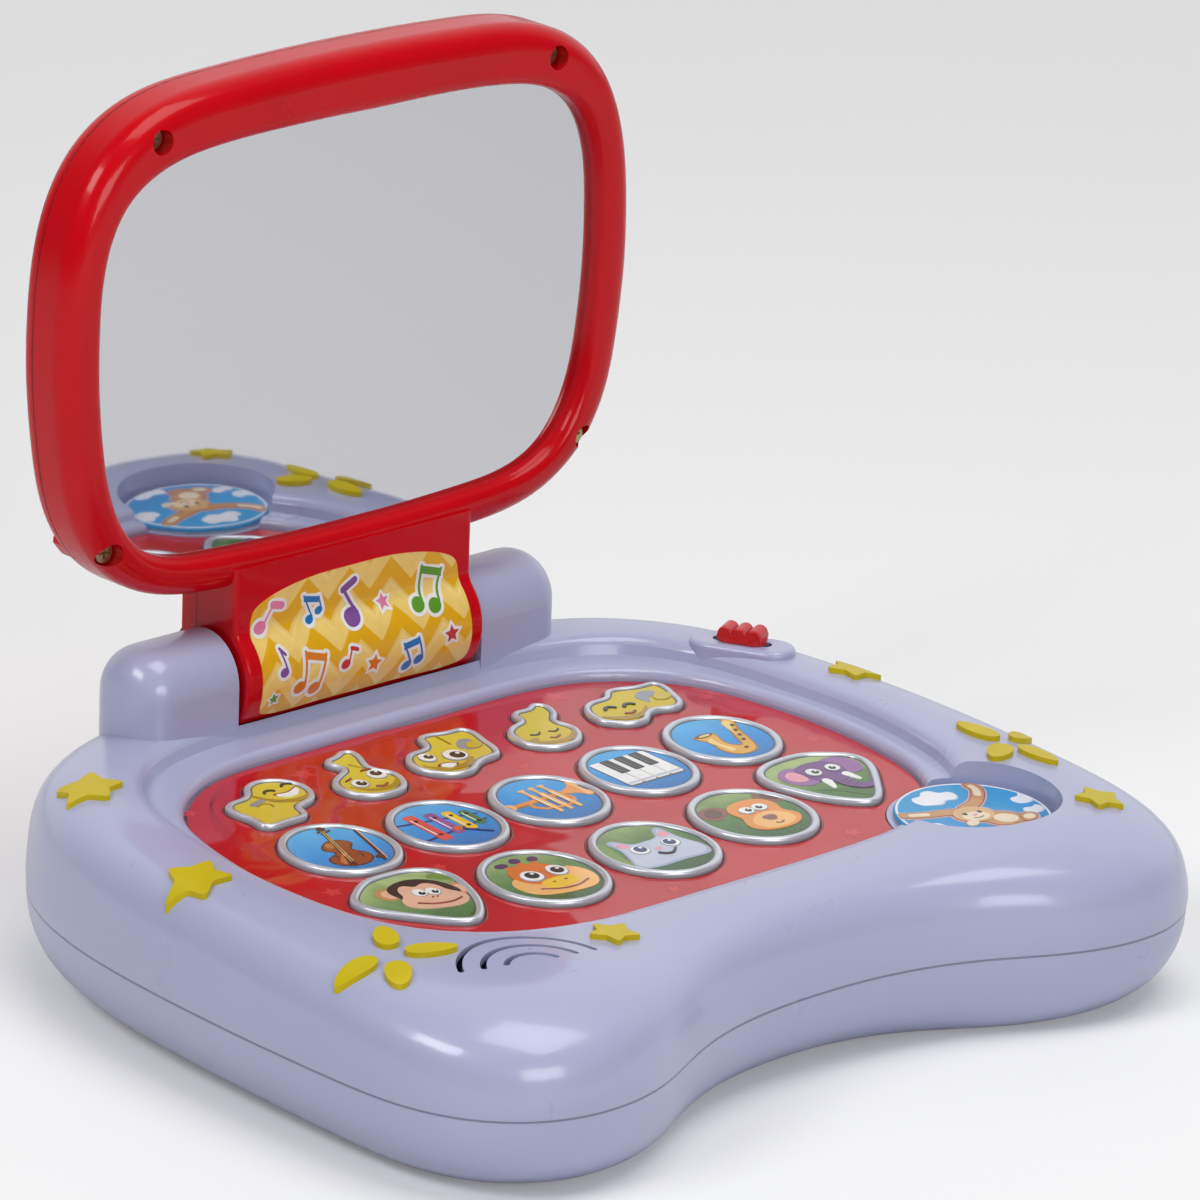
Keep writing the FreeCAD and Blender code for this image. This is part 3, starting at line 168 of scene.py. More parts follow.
def plastic(name, rgb, rough, coat, coat_rough, grain=0.0, vary=0.05, wave=0.0, seam=None,
            specular=0.5, fleck=0.05, metallic=0.0):
    """Moulded plastic: flow marks, flecks, smudges and grain, sink waves and a parting line groove,
    with painted shade darkening its colour.

    seam is (axis, place, half width). No fleck also means no smudges and no grain.
    """
    g = Graph(name)
    flow = g.noise(38, detail=3, rough=0.55, stretch=(1, 1.6, 0.7))
    colour = g.mix(g.remap(flow, 0.3, 0.7), tint(rgb, 1 - vary), tint(rgb, 1 + vary))
    speck = g.remap(g.noise(700, detail=1), 0.70, 0.76)
    colour = g.mix(g.times(speck, fleck), colour, tint(rgb, 0.8))
    if fleck:
        smudge = g.remap(g.noise(34), 0.45, 0.75)
        roughness = g.add(rough - 0.02, g.times(smudge, 0.04))
        roughness = g.add(roughness, g.times(g.noise(600, detail=1), 0.03))
        normal = g.bump(g.noise(1800, detail=1), depth=grain * 0.35)
    else:
        roughness = g.add(rough, g.times(flow, 0.012))
        normal = None
    if wave:
        normal = g.bump(g.noise(30, detail=1), depth=wave, under=normal)
    if seam:
        axis, place, half = seam
        off = g.math("ABSOLUTE", g.math("SUBTRACT", g.axis(axis), place))
        groove_and_shade = g.remap(off, half * 0.45, half, to=(1.0, 0.0))
        # painted shade: the colour darkens along the parting line, as shade in the gap between the
        # parts
        colour = g.mix(g.times(groove_and_shade, 0.62), colour, tint(rgb, 0.28))
        normal = g.bump(g.math("SUBTRACT", 1.0, groove_and_shade), depth=0.0003, under=normal)
    return g.set(Base_Color=colour, Roughness=roughness, Normal=normal, Coat_Weight=coat,
                 Coat_Roughness=coat_rough, Specular_IOR_Level=specular, Metallic=metallic)


def metal(name, rgb, rough, brushed, dirt):
    """Metal with grain stretched by brushed, and dark spots."""
    g = Graph(name)
    grain = g.noise(500, detail=3, rough=0.6, stretch=brushed)
    spots = g.remap(g.noise(220, detail=3), 0.5, 0.8)
    return g.set(Base_Color=g.mix(g.times(spots, dirt), rgb, tint(rgb, 0.45)), Metallic=1.0,
                 Roughness=g.add(rough - 0.06, g.times(grain, 0.14)),
                 Normal=g.bump(grain, depth=0.000006))


def paint(*srgb):
    """Printed ink under clear film: half-tone dots and slight density changes."""
    g = Graph("ink_%02x%02x%02x" % srgb)
    rgb = lin(*srgb)
    colour = g.mix(g.dots(0.15, 0.55), tint(rgb, 0.95), rgb)
    colour = g.mix(g.remap(g.noise(160), 0.35, 0.7), tint(rgb, 0.9), colour)
    return g.set(Base_Color=colour, Roughness=g.add(0.32, g.times(g.noise(700), 0.06)),
                 Coat_Weight=0.55, Coat_Roughness=0.07,
                 Normal=g.bump(g.noise(420), depth=0.000012))


def green_laminate():
    """Circuit board with a brick pattern of tracks."""
    g = Graph("green_laminate")
    tracks = g.texture("Brick", Scale=90.0, Mortar_Size=0.03, Color1=(0.02, 0.16, 0.06),
                       Color2=(0.02, 0.19, 0.07), Mortar=(0.05, 0.30, 0.12))
    return g.set(Base_Color=tracks["Color"], Roughness=g.add(0.3, g.times(g.noise(300), 0.15)),
                 Coat_Weight=0.4, Normal=g.bump(tracks["Fac"], depth=0.00002))


def lamp_epoxy():
    g = Graph("lamp_epoxy")
    colour = g.mix(g.noise(300), [0.85, 0.86, 0.84], [0.95, 0.95, 0.95])
    return g.set(Base_Color=colour, Roughness=0.08, Transmission_Weight=0.8, IOR=1.5,
                 Normal=g.bump(g.noise(500), depth=0.000004))


def panel_print():
    """Glossy red print with fine glitter, under a slightly rippled clear film."""
    g = Graph("panel_print")
    colour = g.mix(g.remap(g.noise(22), 0.35, 0.65), lin(182, 4, 16), lin(198, 12, 22))
    glitter = g.remap(g.noise(1900, detail=1), 0.64, 0.72)
    colour = g.mix(g.times(glitter, 0.12), colour, lin(225, 70, 70))
    ripple = g.bump(g.noise(26, rough=0.45, stretch=(1, 1.5, 1)), depth=0.0010,
                    under=g.bump(g.noise(1500), depth=0.000004))
    return g.set(Base_Color=colour, Roughness=g.add(0.30, g.times(g.noise(260), 0.06)),
                 Coat_Weight=0.8, Coat_Roughness=0.05, Coat_IOR=1.5, Specular_IOR_Level=0.2,
                 Coat_Normal=ripple, Normal=g.bump(g.noise(800), depth=0.000008))


def key_face(name, span, low, middle, high, leaf=0.0):
    """Key ground: a gradient along y over span (m), with soft foliage, under gloss film."""
    g = Graph(name)
    along = g.remap(g.axis("Y"), *span)
    colour = g.mix(g.remap(along, 0.0, 0.5), lin(*low), lin(*middle))
    colour = g.mix(g.remap(along, 0.5, 1.0), colour, lin(*high))
    soft = g.remap(g.noise(130, stretch=(1, 1, 1)), 0.42, 0.62)
    colour = g.mix(g.times(soft, leaf), colour, tint(lin(*low), 0.8))
    colour = g.mix(g.times(g.dots(0.2, 0.6), 0.06), colour, [1.0, 1.0, 1.0])
    # below the face the sides of the key are pale grey
    rise = g.times(g.math("SUBTRACT", g.axis("Z"), PANEL_HEIGHT / 1000), TILT_COS)
    above_panel = g.add(g.times(g.axis("Y"), -TILT_SIN), rise)
    colour = g.mix(g.remap(above_panel, 0.00076, 0.00080), lin(168, 172, 180), colour)
    return g.set(Base_Color=colour, Roughness=0.3, Coat_Weight=0.3, Coat_Roughness=0.06,
                 Coat_IOR=1.5, Specular_IOR_Level=0.15,
                 Normal=g.bump(g.noise(600), depth=0.000012),
                 Coat_Normal=g.bump(g.noise(60, detail=1), depth=0.0003))


def mirror_film():
    """Plastic mirror: bright, faintly wavy, with hairlines."""
    g = Graph("mirror_film")
    hair = g.remap(g.noise(900, detail=3, rough=0.6, stretch=(14, 1, 1)), 0.62, 0.78)
    wave = g.bump(g.noise(16, detail=1), depth=0.00022,
                  under=g.bump(g.noise(90, detail=1), depth=0.000006))
    return g.set(Base_Color=lin(222, 222, 226), Metallic=1.0,
                 Roughness=g.add(0.025, g.times(hair, 0.10)), Normal=wave)


def label_chevron():
    """Yellow label film with zigzag bands across its height."""
    half_period, slope, pitch = 0.0066, 1.05, 0.0118
    g = Graph("label_chevron")
    x, z = g.axis("X"), g.axis("Z")
    zigzag = g.math("PINGPONG", g.add(x, 0.2), half_period)
    # the x term has no slope, so the bands run level
    height = g.add(g.math("SUBTRACT", z, g.times(x, 0.0)), g.times(zigzag, slope))
    band = g.math("FRACT", g.math("DIVIDE", height, pitch))
    mask = g.remap(g.math("PINGPONG", band, 0.5), 0.235, 0.250)
    stripe = g.remap(g.math("PINGPONG", g.add(band, 0.26), 0.5), 0.405, 0.415)
    colour = g.mix(mask, lin(248, 214, 120), lin(236, 178, 4))
    colour = g.mix(g.times(stripe, 0.65), colour, lin(250, 222, 140))
    blotch = g.remap(g.noise(300), 0.4, 0.7)
    colour = g.mix(g.times(blotch, 0.10), colour, lin(190, 140, 10))
    return g.set(Base_Color=colour, Roughness=g.add(0.26, g.times(g.noise(420), 0.06)),
                 Coat_Weight=0.45, Coat_Roughness=0.08,
                 Normal=g.bump(g.noise(900), depth=0.000008))


# slot, material, sRGB, roughness, coat, coat roughness, grain (m), colour variation
PLAIN_PLASTICS = (
    ("red_knob", "red_knob_plastic", (200, 20, 30), 0.34, 0.2, 0.15, 0.00002, 0.05),
    ("black_plastic", "black_moulding", (26, 26, 28), 0.45, 0.1, 0.2, 0.00002, 0.2),
    ("cell_wrap", "cell_sleeve", (40, 44, 52), 0.25, 0.5, 0.08, 0.000006, 0.1),
    ("paper_cone", "cone_paper", (34, 32, 30), 0.85, 0.0, 0.3, 0.00006, 0.25),
    ("membrane", "membrane_film", (205, 203, 190), 0.35, 0.3, 0.1, 0.00001, 0.04),
    ("wire_cover", "wire_sleeve", (170, 24, 26), 0.42, 0.1, 0.2, 0.00001, 0.06),
    ("washer_nylon", "washer_nylon", (228, 226, 218), 0.4, 0.1, 0.2, 0.00001, 0.03),
)

MATERIALS = {
    "lavender_shell": plastic("lavender_plastic", lin(176, 179, 211), rough=0.27, coat=0.45,
                              coat_rough=0.08, vary=0.006, wave=0.00003,
                              seam=("Z", 0.02075, 0.00030), fleck=0.0),
    "red_shell": plastic("red_gloss_plastic", lin(202, 3, 20), rough=0.24, coat=0.25,
                         coat_rough=0.05, grain=0.000003, wave=0.00010,
                         seam=("Y", 0.0845, 0.00026), specular=0.14),
    "yellow_trim": plastic("yellow_trim_paint", lin(206, 184, 0), rough=0.42, coat=0.12,
                           coat_rough=0.18, grain=0.00002, vary=0.06, specular=0.25),
    **{slot: plastic(name, lin(*srgb), *look) for slot, name, srgb, *look in PLAIN_PLASTICS},
    "steel": metal("sheet_steel", [0.55, 0.55, 0.56], rough=0.32, brushed=(1, 12, 1), dirt=0.3),
    "zinc_screw": metal("passivated_screw", [0.50, 0.42, 0.24], rough=0.34, brushed=(1, 1, 1),
                        dirt=0.55),
    "board_green": green_laminate(),
    "lamp_lens": lamp_epoxy(),
    "red_panel": panel_print(),
    "green_key": key_face("key_ground_green", (-0.050, -0.016), (44, 84, 40), (86, 128, 62),
                          (170, 190, 120), leaf=0.30),
    "blue_key": key_face("key_ground_blue", (-0.013, 0.020), (8, 100, 172), (2, 146, 221),
                         (84, 182, 234), leaf=0.10),
    "yellow_key": key_face("key_ground_yellow", (0.022, 0.050), (206, 174, 6), (212, 190, 12),
                           (218, 200, 30), leaf=0.05),
    "picture": key_face("disc_sky_print", (-0.085, -0.046), (10, 128, 196), (12, 150, 212),
                        (20, 150, 208)),
    "mirror_face": mirror_film(),
    "label_film": label_chevron(),
}

SLOTS = {part["node"]: part["material_slot"] for part in frame["record"]["subparts"]}
for name, part in PARTS.items():
    part.data.materials.clear()
    part.data.materials.append(MATERIALS[SLOTS[name]])

SILVER = plastic("silver_foil_rim", lin(216, 220, 228), rough=0.32, coat=0.4, coat_rough=0.08,
                 grain=0.000006, vary=0.04, metallic=0.55)

WHITE, BLACK = paint(248, 248, 246), paint(24, 20, 22)
PEACH, HAIR, SMILE = paint(240, 188, 158), paint(62, 34, 28), paint(150, 62, 48)
ORANGE, AMBER, SAND = paint(240, 150, 52), paint(226, 118, 22), paint(250, 190, 110)
YELLOW, MUSTARD, LEMON = paint(246, 206, 40), paint(172, 138, 12), paint(212, 190, 20)
VIOLET, PURPLE, PLUM = paint(150, 96, 160), paint(112, 62, 132), paint(86, 50, 96)
FUR, FUR_DARK, PINK = paint(196, 204, 222), paint(168, 178, 204), paint(238, 160, 176)
BROWN, BROWN_DARK, TAN = paint(140, 84, 66), paint(98, 56, 44), paint(206, 150, 96)
WOOD, WOOD_DARK, WOOD_PALE = paint(150, 78, 40), paint(84, 42, 30), paint(196, 122, 64)
LEAF, LEAF_PALE = paint(66, 104, 34), paint(120, 150, 60)
ROSE, NAVY, GREEN = paint(224, 92, 84), paint(30, 48, 110), paint(66, 132, 60)
GREY, GREY_DARK = paint(150, 154, 164), paint(96, 98, 108)
GOLD, GOLD_DARK, GOLD_PALE = paint(232, 176, 50), paint(176, 116, 30), paint(250, 216, 130)


# ------------------------------------------------------------- outline tools
def spline(*points, steps=6):
    """Closed smooth curve through the points: a chord-length cubic."""
    P = np.array(points, float)
    count = len(P)
    chord = np.linalg.norm(np.roll(P, -1, 0) - P, axis=1)
    system = np.zeros((count, count))
    target = np.zeros((count, 2))
    for i in range(count):
        last, after = (i - 1) % count, (i + 1) % count
        system[i, last] += chord[last]
        system[i, i] += 2 * (chord[last] + chord[i])
        system[i, after] += chord[i]
        target[i] = 6 * ((P[after] - P[i]) / chord[i] - (P[i] - P[last]) / chord[last])
    bend = np.linalg.solve(system, target)
    out = []
    for i in range(count):
        after, h = (i + 1) % count, chord[i]
        for step in range(steps):
            b = h * step / steps
            a = h - b
            out.append(tuple(bend[i] * a ** 3 / (6 * h) + bend[after] * b ** 3 / (6 * h)
                             + (P[i] / h - bend[i] * h / 6) * a
                             + (P[after] / h - bend[after] * h / 6) * b))
    return out


def ccw(loop):
    """The loop, turned counter-clockwise."""
    area = sum(loop[i][0] * loop[(i + 1) % len(loop)][1]
               - loop[(i + 1) % len(loop)][0] * loop[i][1] for i in range(len(loop)))
    return list(loop) if area > 0 else list(reversed(loop))


def unit(start, end):
    x, y = end[0] - start[0], end[1] - start[1]
    length = math.hypot(x, y) or 1.0
    return x / length, y / length


def inset(loop, distance):
    """Closed loop moved inwards, along averaged normals."""
    loop = ccw(loop)
    out = []
    for i, (x, y) in enumerate(loop):
        along_x, along_y = unit(loop[i - 1], loop[(i + 1) % len(loop)])
        out.append((x - along_y * distance, y + along_x * distance))
    return out


def oval(cx, cy, rx, ry, turn=0.0, count=30):
    c, s = math.cos(math.radians(turn)), math.sin(math.radians(turn))
    out = []
    for i in range(count):
        angle = 2 * math.pi * i / count
        out.append((cx + rx * math.cos(angle) * c - ry * math.sin(angle) * s,
                    cy + rx * math.cos(angle) * s + ry * math.sin(angle) * c))
    return out


def box(cx, cy, width, height, turn, radius):
    """Rounded rectangle."""
    points = []
    for side_x, side_y, start in ((1, 1, 0), (-1, 1, 90), (-1, -1, 180), (1, -1, 270)):
        for i in range(5):
            angle = math.radians(start + 22.5 * i)
            points.append((side_x * (width / 2 - radius) + radius * math.cos(angle),
                           side_y * (height / 2 - radius) + radius * math.sin(angle)))
    c, s = math.cos(math.radians(turn)), math.sin(math.radians(turn))
    return [(cx + x * c - y * s, cy + x * s + y * c) for x, y in points]


def star(cx, cy, radius, turn, waist=0.46, soft=0.12):
    """Five-pointed star with softened corners. waist is its inner radius as a share."""
    corners = []
    for i in range(10):
        angle = math.radians(turn + 36 * i)
        reach = radius if i % 2 == 0 else radius * waist
        corners.append((cx + reach * math.cos(angle), cy + reach * math.sin(angle)))
    out = []
    for i, (x, y) in enumerate(corners):
        (ax, ay), (bx, by) = corners[i - 1], corners[(i + 1) % 10]
        out.append((x + (ax - x) * soft, y + (ay - y) * soft))
        out.append((x * 0.92 + (ax + bx) * 0.04, y * 0.92 + (ay + by) * 0.04))
        out.append((x + (bx - x) * soft, y + (by - y) * soft))
    return out


def line(points, steps):
    """Open smooth curve through the points (Catmull-Rom)."""
    P = [np.array(point, float) for point in points]
    if len(P) == 2:
        return [tuple(P[0] + (P[1] - P[0]) * i / steps) for i in range(steps + 1)]
    P = [2 * P[0] - P[1]] + P + [2 * P[-1] - P[-2]]
    out = []
    for a, b, c, d in zip(P, P[1:], P[2:], P[3:]):
        for i in range(steps):
            t = i / steps
            out.append(tuple(0.5 * ((2 * b) + (c - a) * t + (2 * a - 5 * b + 4 * c - d) * t * t
                                    + (3 * b - a - 3 * c + d) * t ** 3)))
    out.append(tuple(P[-2]))
    return out


def round_end(centre, edge):
    """Half circle about centre, clockwise from edge, without its two ends."""
    x, y = edge[0] - centre[0], edge[1] - centre[1]
    start, radius = math.atan2(y, x), math.hypot(x, y)
    return [(centre[0] + radius * math.cos(start - math.pi * i / 6),
             centre[1] + radius * math.sin(start - math.pi * i / 6)) for i in range(1, 6)]


def stroke(points, width, end_width=None, steps=8):
    """A brushed line with round ends, tapering from width to end_width."""
    end_width = width if end_width is None else end_width
    path = line(points, steps)
    last = len(path) - 1
    left, right = [], []
    for i, (x, y) in enumerate(path):
        along_x, along_y = unit(path[max(0, i - 1)], path[min(last, i + 1)])
        half = (width + (end_width - width) * i / last) / 2
        left.append((x - along_y * half, y + along_x * half))
        right.append((x + along_y * half, y - along_x * half))
    return left + round_end(path[-1], left[-1]) + right[::-1] + round_end(path[0], right[0])


def shift(points, dx, dy):
    return [(x + dx, y + dy) for x, y in points]


def keep_in(points, loop, gap):
    """The points, pulled in along rays from the loop's middle to stay a gap inside it."""
    count = len(loop)
    cx, cy = sum(x for x, _ in loop) / count, sum(y for _, y in loop) / count
    out = []
    for x, y in points:
        dx, dy = x - cx, y - cy
        distance = math.hypot(dx, dy)
        reach = distance + gap
        for i in range(count if distance else 0):
            (ax, ay), (bx, by) = loop[i], loop[(i + 1) % count]
            ex, ey = bx - ax, by - ay
            det = dx * ey - dy * ex
            if abs(det) < 1e-12:
                continue
            along_ray = ((ax - cx) * ey - (ay - cy) * ex) / det
            along_edge = ((ax - cx) * dy - (ay - cy) * dx) / det
            if along_ray > 0 and 0 <= along_edge <= 1:
                reach = min(reach, along_ray * distance)
        scale = min(1.0, (reach - gap) / distance) if distance else 1.0
        out.append((cx + dx * scale, cy + dy * scale))
    return out


# -------------------------------------------------------------- piece builder
def on_panel(x, along, height):
    """Place on the tilted panel, mm, to metres."""
    return Vector((x, along * TILT_COS - height * TILT_SIN,
                   PANEL_HEIGHT + along * TILT_SIN + height * TILT_COS)) / 1000.0


class Piece:
    """One mesh gathered from many thin closed shapes."""

    def __init__(self, name, place=on_panel):
        self.name, self.place = name, place
        self.verts, self.faces, self.face_slots, self.smooth, self.materials = [], [], [], [], []

    def slot(self, material):
        if material not in self.materials:
            self.materials.append(material)
        return self.materials.index(material)

    def face(self, corners, slot, smooth):
        self.faces.append(corners)
        self.face_slots.append(slot)
        self.smooth.append(smooth)

    def add(self, outline, material, bottom, top, rows=0.0):
        """Closed plate from bottom to top, cut in strips of rows to follow a curved surface."""
        merge = 0.004   # corners nearer than this become one
        clean = []
        for point in ccw(outline):
            if not clean or math.dist(point, clean[-1]) > merge:
                clean.append(point)
        if math.dist(clean[0], clean[-1]) < merge:
            clean.pop()
        slot = self.slot(material)
        bm = bmesh.new()
        bm.faces.new([bm.verts.new((x, y, 0)) for x, y in clean])
        if rows:
            cut = min(y for _, y in clean) + rows
            end = max(y for _, y in clean)
            while cut < end:
                bmesh.ops.bisect_plane(bm, geom=bm.verts[:] + bm.edges[:] + bm.faces[:],
                                       dist=1e-5, plane_co=(0, cut, 0), plane_no=(0, 1, 0))
                cut += rows
        bm.verts.index_update()
        low = len(self.verts)
        high = low + len(bm.verts)
        for height in (bottom, top):
            self.verts += [self.place(v.co.x, v.co.y, height) for v in bm.verts]
        for f in bm.faces:
            corners = [v.index for v in f.verts]
            self.face([high + i for i in corners], slot, False)
            self.face([low + i for i in reversed(corners)], slot, False)
        for edge in bm.edges:
            if edge.is_boundary:
                loop = edge.link_loops[0]
                a, b = loop.vert.index, loop.link_loop_next.vert.index
                self.face([low + a, low + b, high + b, high + a], slot, True)
        bm.free()

    def ring(self, loop, profile, material):
        """A closed profile of (distance inwards, height) swept round a loop."""
        slot = self.slot(material)
        loop = ccw(loop)
        count, size, first = len(loop), len(profile), len(self.verts)
        tracks = [inset(loop, distance) for distance, _ in profile]
        for i in range(count):
            for track, (_, height) in zip(tracks, profile):
                self.verts.append(self.place(*track[i], height))
        for i in range(count):
            here, there = first + i * size, first + ((i + 1) % count) * size
            for j in range(size):
                k = (j + 1) % size
                self.face([here + j, there + j, there + k, here + k], slot, True)

    def finish(self, body, slot=None):
        mesh = bpy.data.meshes.new(self.name)
        mesh.from_pydata([tuple(v) for v in self.verts], [], self.faces)
        for material in self.materials:
            mesh.materials.append(material)
        mesh.polygons.foreach_set("material_index", self.face_slots)
        mesh.polygons.foreach_set("use_smooth", self.smooth)
        # a pass through bmesh settles edges and normals
        bm = bmesh.new()
        bm.from_mesh(mesh)
        bm.normal_update()
        bm.to_mesh(mesh)
        bm.free()
        mesh.update()
        piece = bpy.data.objects.new(self.name, mesh)
        bpy.context.scene.collection.objects.link(piece)
        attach(piece, body)


# ----------------------------------------------------------------- key shapes
# Outlines: (x, y) on the panel, mm. The egg is about its own centre.
EGG = (
    (-13.4, 10.6), (-8.8, 14.9), (-1.3, 16.3), (5.6, 15.8), (12, 12.2), (16.2, 7.6),
    (16.4, 2.6), (13.4, -3.2), (7.9, -10.1), (3.2, -15), (-0.6, -16.6), (-5.2, -14),
    (-10.2, -7.2), (-13.3, 0.4), (-14.4, 6.4))
EGG_X, EGG_Y = 63.9, -28.4
NOTE_OUTLINES = {
    "note_one": (
        (-67.1, 38), (-64.5, 40.9), (-60, 41.6), (-57.6, 43), (-55, 46.2), (-50.1, 48),
        (-45.2, 46.2), (-42.2, 41.8), (-42, 37), (-44.4, 32.8), (-48.4, 30.6), (-51.4, 29.4),
        (-52.4, 26.4), (-54.2, 24.5), (-60, 24), (-65.2, 24), (-67, 25.6), (-66.8, 29.4),
        (-67.4, 34)),
    "note_two": (
        (-37.2, 32.5), (-35.4, 37.2), (-30.9, 40.2), (-28.3, 42.2), (-29, 45.6), (-28.2, 48.2),
        (-24.6, 49.4), (-21.4, 50.8), (-18.6, 49.8), (-18.4, 46.2), (-20, 42.4), (-21, 38.9),
        (-19, 34.4), (-19.6, 28.8), (-23.4, 24.6), (-28.4, 23.6), (-33.6, 25.2), (-36.6, 28.6)),
    "note_three": (
        (-13.4, 33), (-12, 37.4), (-8.2, 40.6), (-3.4, 41.2), (-1.4, 43.6), (0.2, 47),
        (3.6, 47.6), (8.6, 46.4), (13, 45.8), (14.4, 43.4), (13.4, 37.4), (11.8, 31),
        (9.4, 28), (5.4, 27.4), (2.2, 26.4), (-2.2, 23.8), (-7.2, 24), (-11.6, 27.4)),
    "note_four": (
        (18.6, 31.8), (20.4, 37.4), (24.6, 40.2), (27.6, 41.4), (28.6, 44.8), (31.2, 46.6),
        (34.8, 46.6), (37.6, 48), (40.2, 46.4), (40.2, 42.2), (38.2, 38.9), (36, 36.6),
        (36.6, 32.2), (35, 26.6), (30.8, 23.2), (25.6, 22.8), (21, 25.4), (18.8, 29)),
    "note_five": (
        (44, 32.8), (45.6, 37.6), (50.2, 41), (55.6, 41.6), (58.2, 44), (62, 44.3),
        (68, 42.6), (72.6, 42), (73.6, 38.8), (72, 33), (69.6, 28), (65.8, 26.2),
        (62, 27.4), (58.8, 27.4), (55.4, 24.8), (50.2, 24.2), (45.8, 27.2), (44, 30)),
}
# oval keys: centre x, y
INSTRUMENTS = {"violin": (-60.8, 5), "xylophone": (-30.5, 1.8), "trumpet": (0, 0),
               "piano": (30.5, 1.8), "saxophone": (60.8, 5)}
INSTRUMENT_RADII = 14.1, 15.2
OVAL_ANIMALS = {"giraffe": (-33.2, -34.7), "cat": (0, -36.5), "dog": (33.2, -34.7)}
ANIMAL_RADII = 15.1, 16.4


def key_loops():
    loops = {name: spline(*outline) for name, outline in NOTE_OUTLINES.items()}
    for name, centre in INSTRUMENTS.items():
        loops[name] = spline(*oval(*centre, *INSTRUMENT_RADII), steps=4)
    loops["monkey"] = spline(*[(-EGG_X - x, EGG_Y + y) for x, y in EGG])
    for name, centre in OVAL_ANIMALS.items():
        loops[name] = spline(*oval(*centre, *ANIMAL_RADII), steps=4)
    loops["elephant"] = spline(*[(EGG_X + x, EGG_Y + y) for x, y in EGG])
    return {name: ccw(loop) for name, loop in loops.items()}


LOOPS = key_loops()


class Art(Piece):
    """Key picture: each ink call lays its shapes one layer higher."""

    def __init__(self, key):
        super().__init__("art_" + key)
        self.key, self.is_note = key, key in NOTE_OUTLINES
        self.level = 1 if self.is_note else 0

    def ink(self, material, *shapes):
        for i, shape in enumerate(shapes):
            shape = shift(shape, ART_X, ART_Y)
            if not self.is_note:
                shape = keep_in(shape, LOOPS[self.key], gap=0.7)
            height = KEY_TOP + 0.07 + 0.045 * self.level + 0.004 * i
            self.add(shape, material, KEY_TOP - 0.12, height)
        self.level += 1

    def ink_beside(self, groups):
        """Groups of (material, *shapes) layers, each group starting from the same level."""
        base = self.level
        for group in groups:
            self.level = base
            for layer in group:
                self.ink(*layer)

    def eyes(self, *eyes, pupil=BLACK):
        """Each eye: centre x, y, radii, pupil x, y, pupil radius."""
        self.ink_beside([
            [(GREY, oval(x, y - 0.12, rx + 0.22, ry + 0.22)),
             (WHITE, oval(x, y, rx, ry)),
             (pupil, oval(px, py, pr, pr * 1.05)),
             (WHITE, oval(px + pr * 0.35, py + pr * 0.42, pr * 0.3, pr * 0.3))]
            for x, y, rx, ry, px, py, pr in eyes])


def eyelid(x, y, radius, side=1, width=0.75, spread=60):
    """Arc bulging towards +y (side 1) or -y (side -1)."""
    angles = [math.radians(t) for t in (-spread, -spread / 2, 0, spread / 2, spread)]
    return stroke([(x + radius * math.sin(t),
                    y + side * radius * math.cos(t) - side * radius * 0.7) for t in angles],
                  width)


# ------------------------------------------------------------- key pictures
def monkey(art):
    art.ink(LEAF_PALE, spline((-57.5, -20.8), (-54, -19.8), (-52.6, -22.5), (-52.8, -27),
                              (-54.6, -24.2)))
    art.ink(LEAF, spline((-64, -43.4), (-59.6, -42.8), (-56.6, -39.6), (-55.2, -35.6),
                         (-56.6, -36.8), (-60.2, -40.6)))
    art.ink(TAN, oval(-71.6, -23.8, 3.1, 3.3), oval(-55.6, -29.8, 2.9, 3.3))
    art.ink(PEACH, oval(-71.4, -24.1, 2, 2.3), oval(-55.4, -30.1, 1.8, 2.2))
    art.ink(HAIR, spline((-70.9, -27.2), (-70.6, -22.2), (-67, -19.9), (-62, -19.9),
                         (-58.2, -22.6), (-56.2, -27), (-56.5, -32), (-60, -33.5), (-66, -32)))
    art.ink(PEACH, spline((-69.9, -27), (-68.6, -23.6), (-65.8, -22.2), (-63.8, -24),
                          (-61.6, -23.4), (-58.9, -25.6), (-58.4, -29), (-56.8, -32.6),
                          (-57.6, -36), (-61, -37.6), (-66, -36.6), (-70.6, -34.2),
                          (-72.4, -31.4), (-71.6, -28.6)))
    art.eyes((-65.2, -27.3, 1.65, 2, -65, -28, 0.85), (-62, -28.3, 1.6, 2, -61.8, -28.9, 0.82))
    art.ink(SMILE, stroke([(-69.6, -32), (-66.4, -34.4), (-62.2, -35.4), (-58.9, -34.8)],
                          0.5, 0.4),
            oval(-64.3, -31, 0.3, 0.22), oval(-63.2, -31.3, 0.3, 0.22))


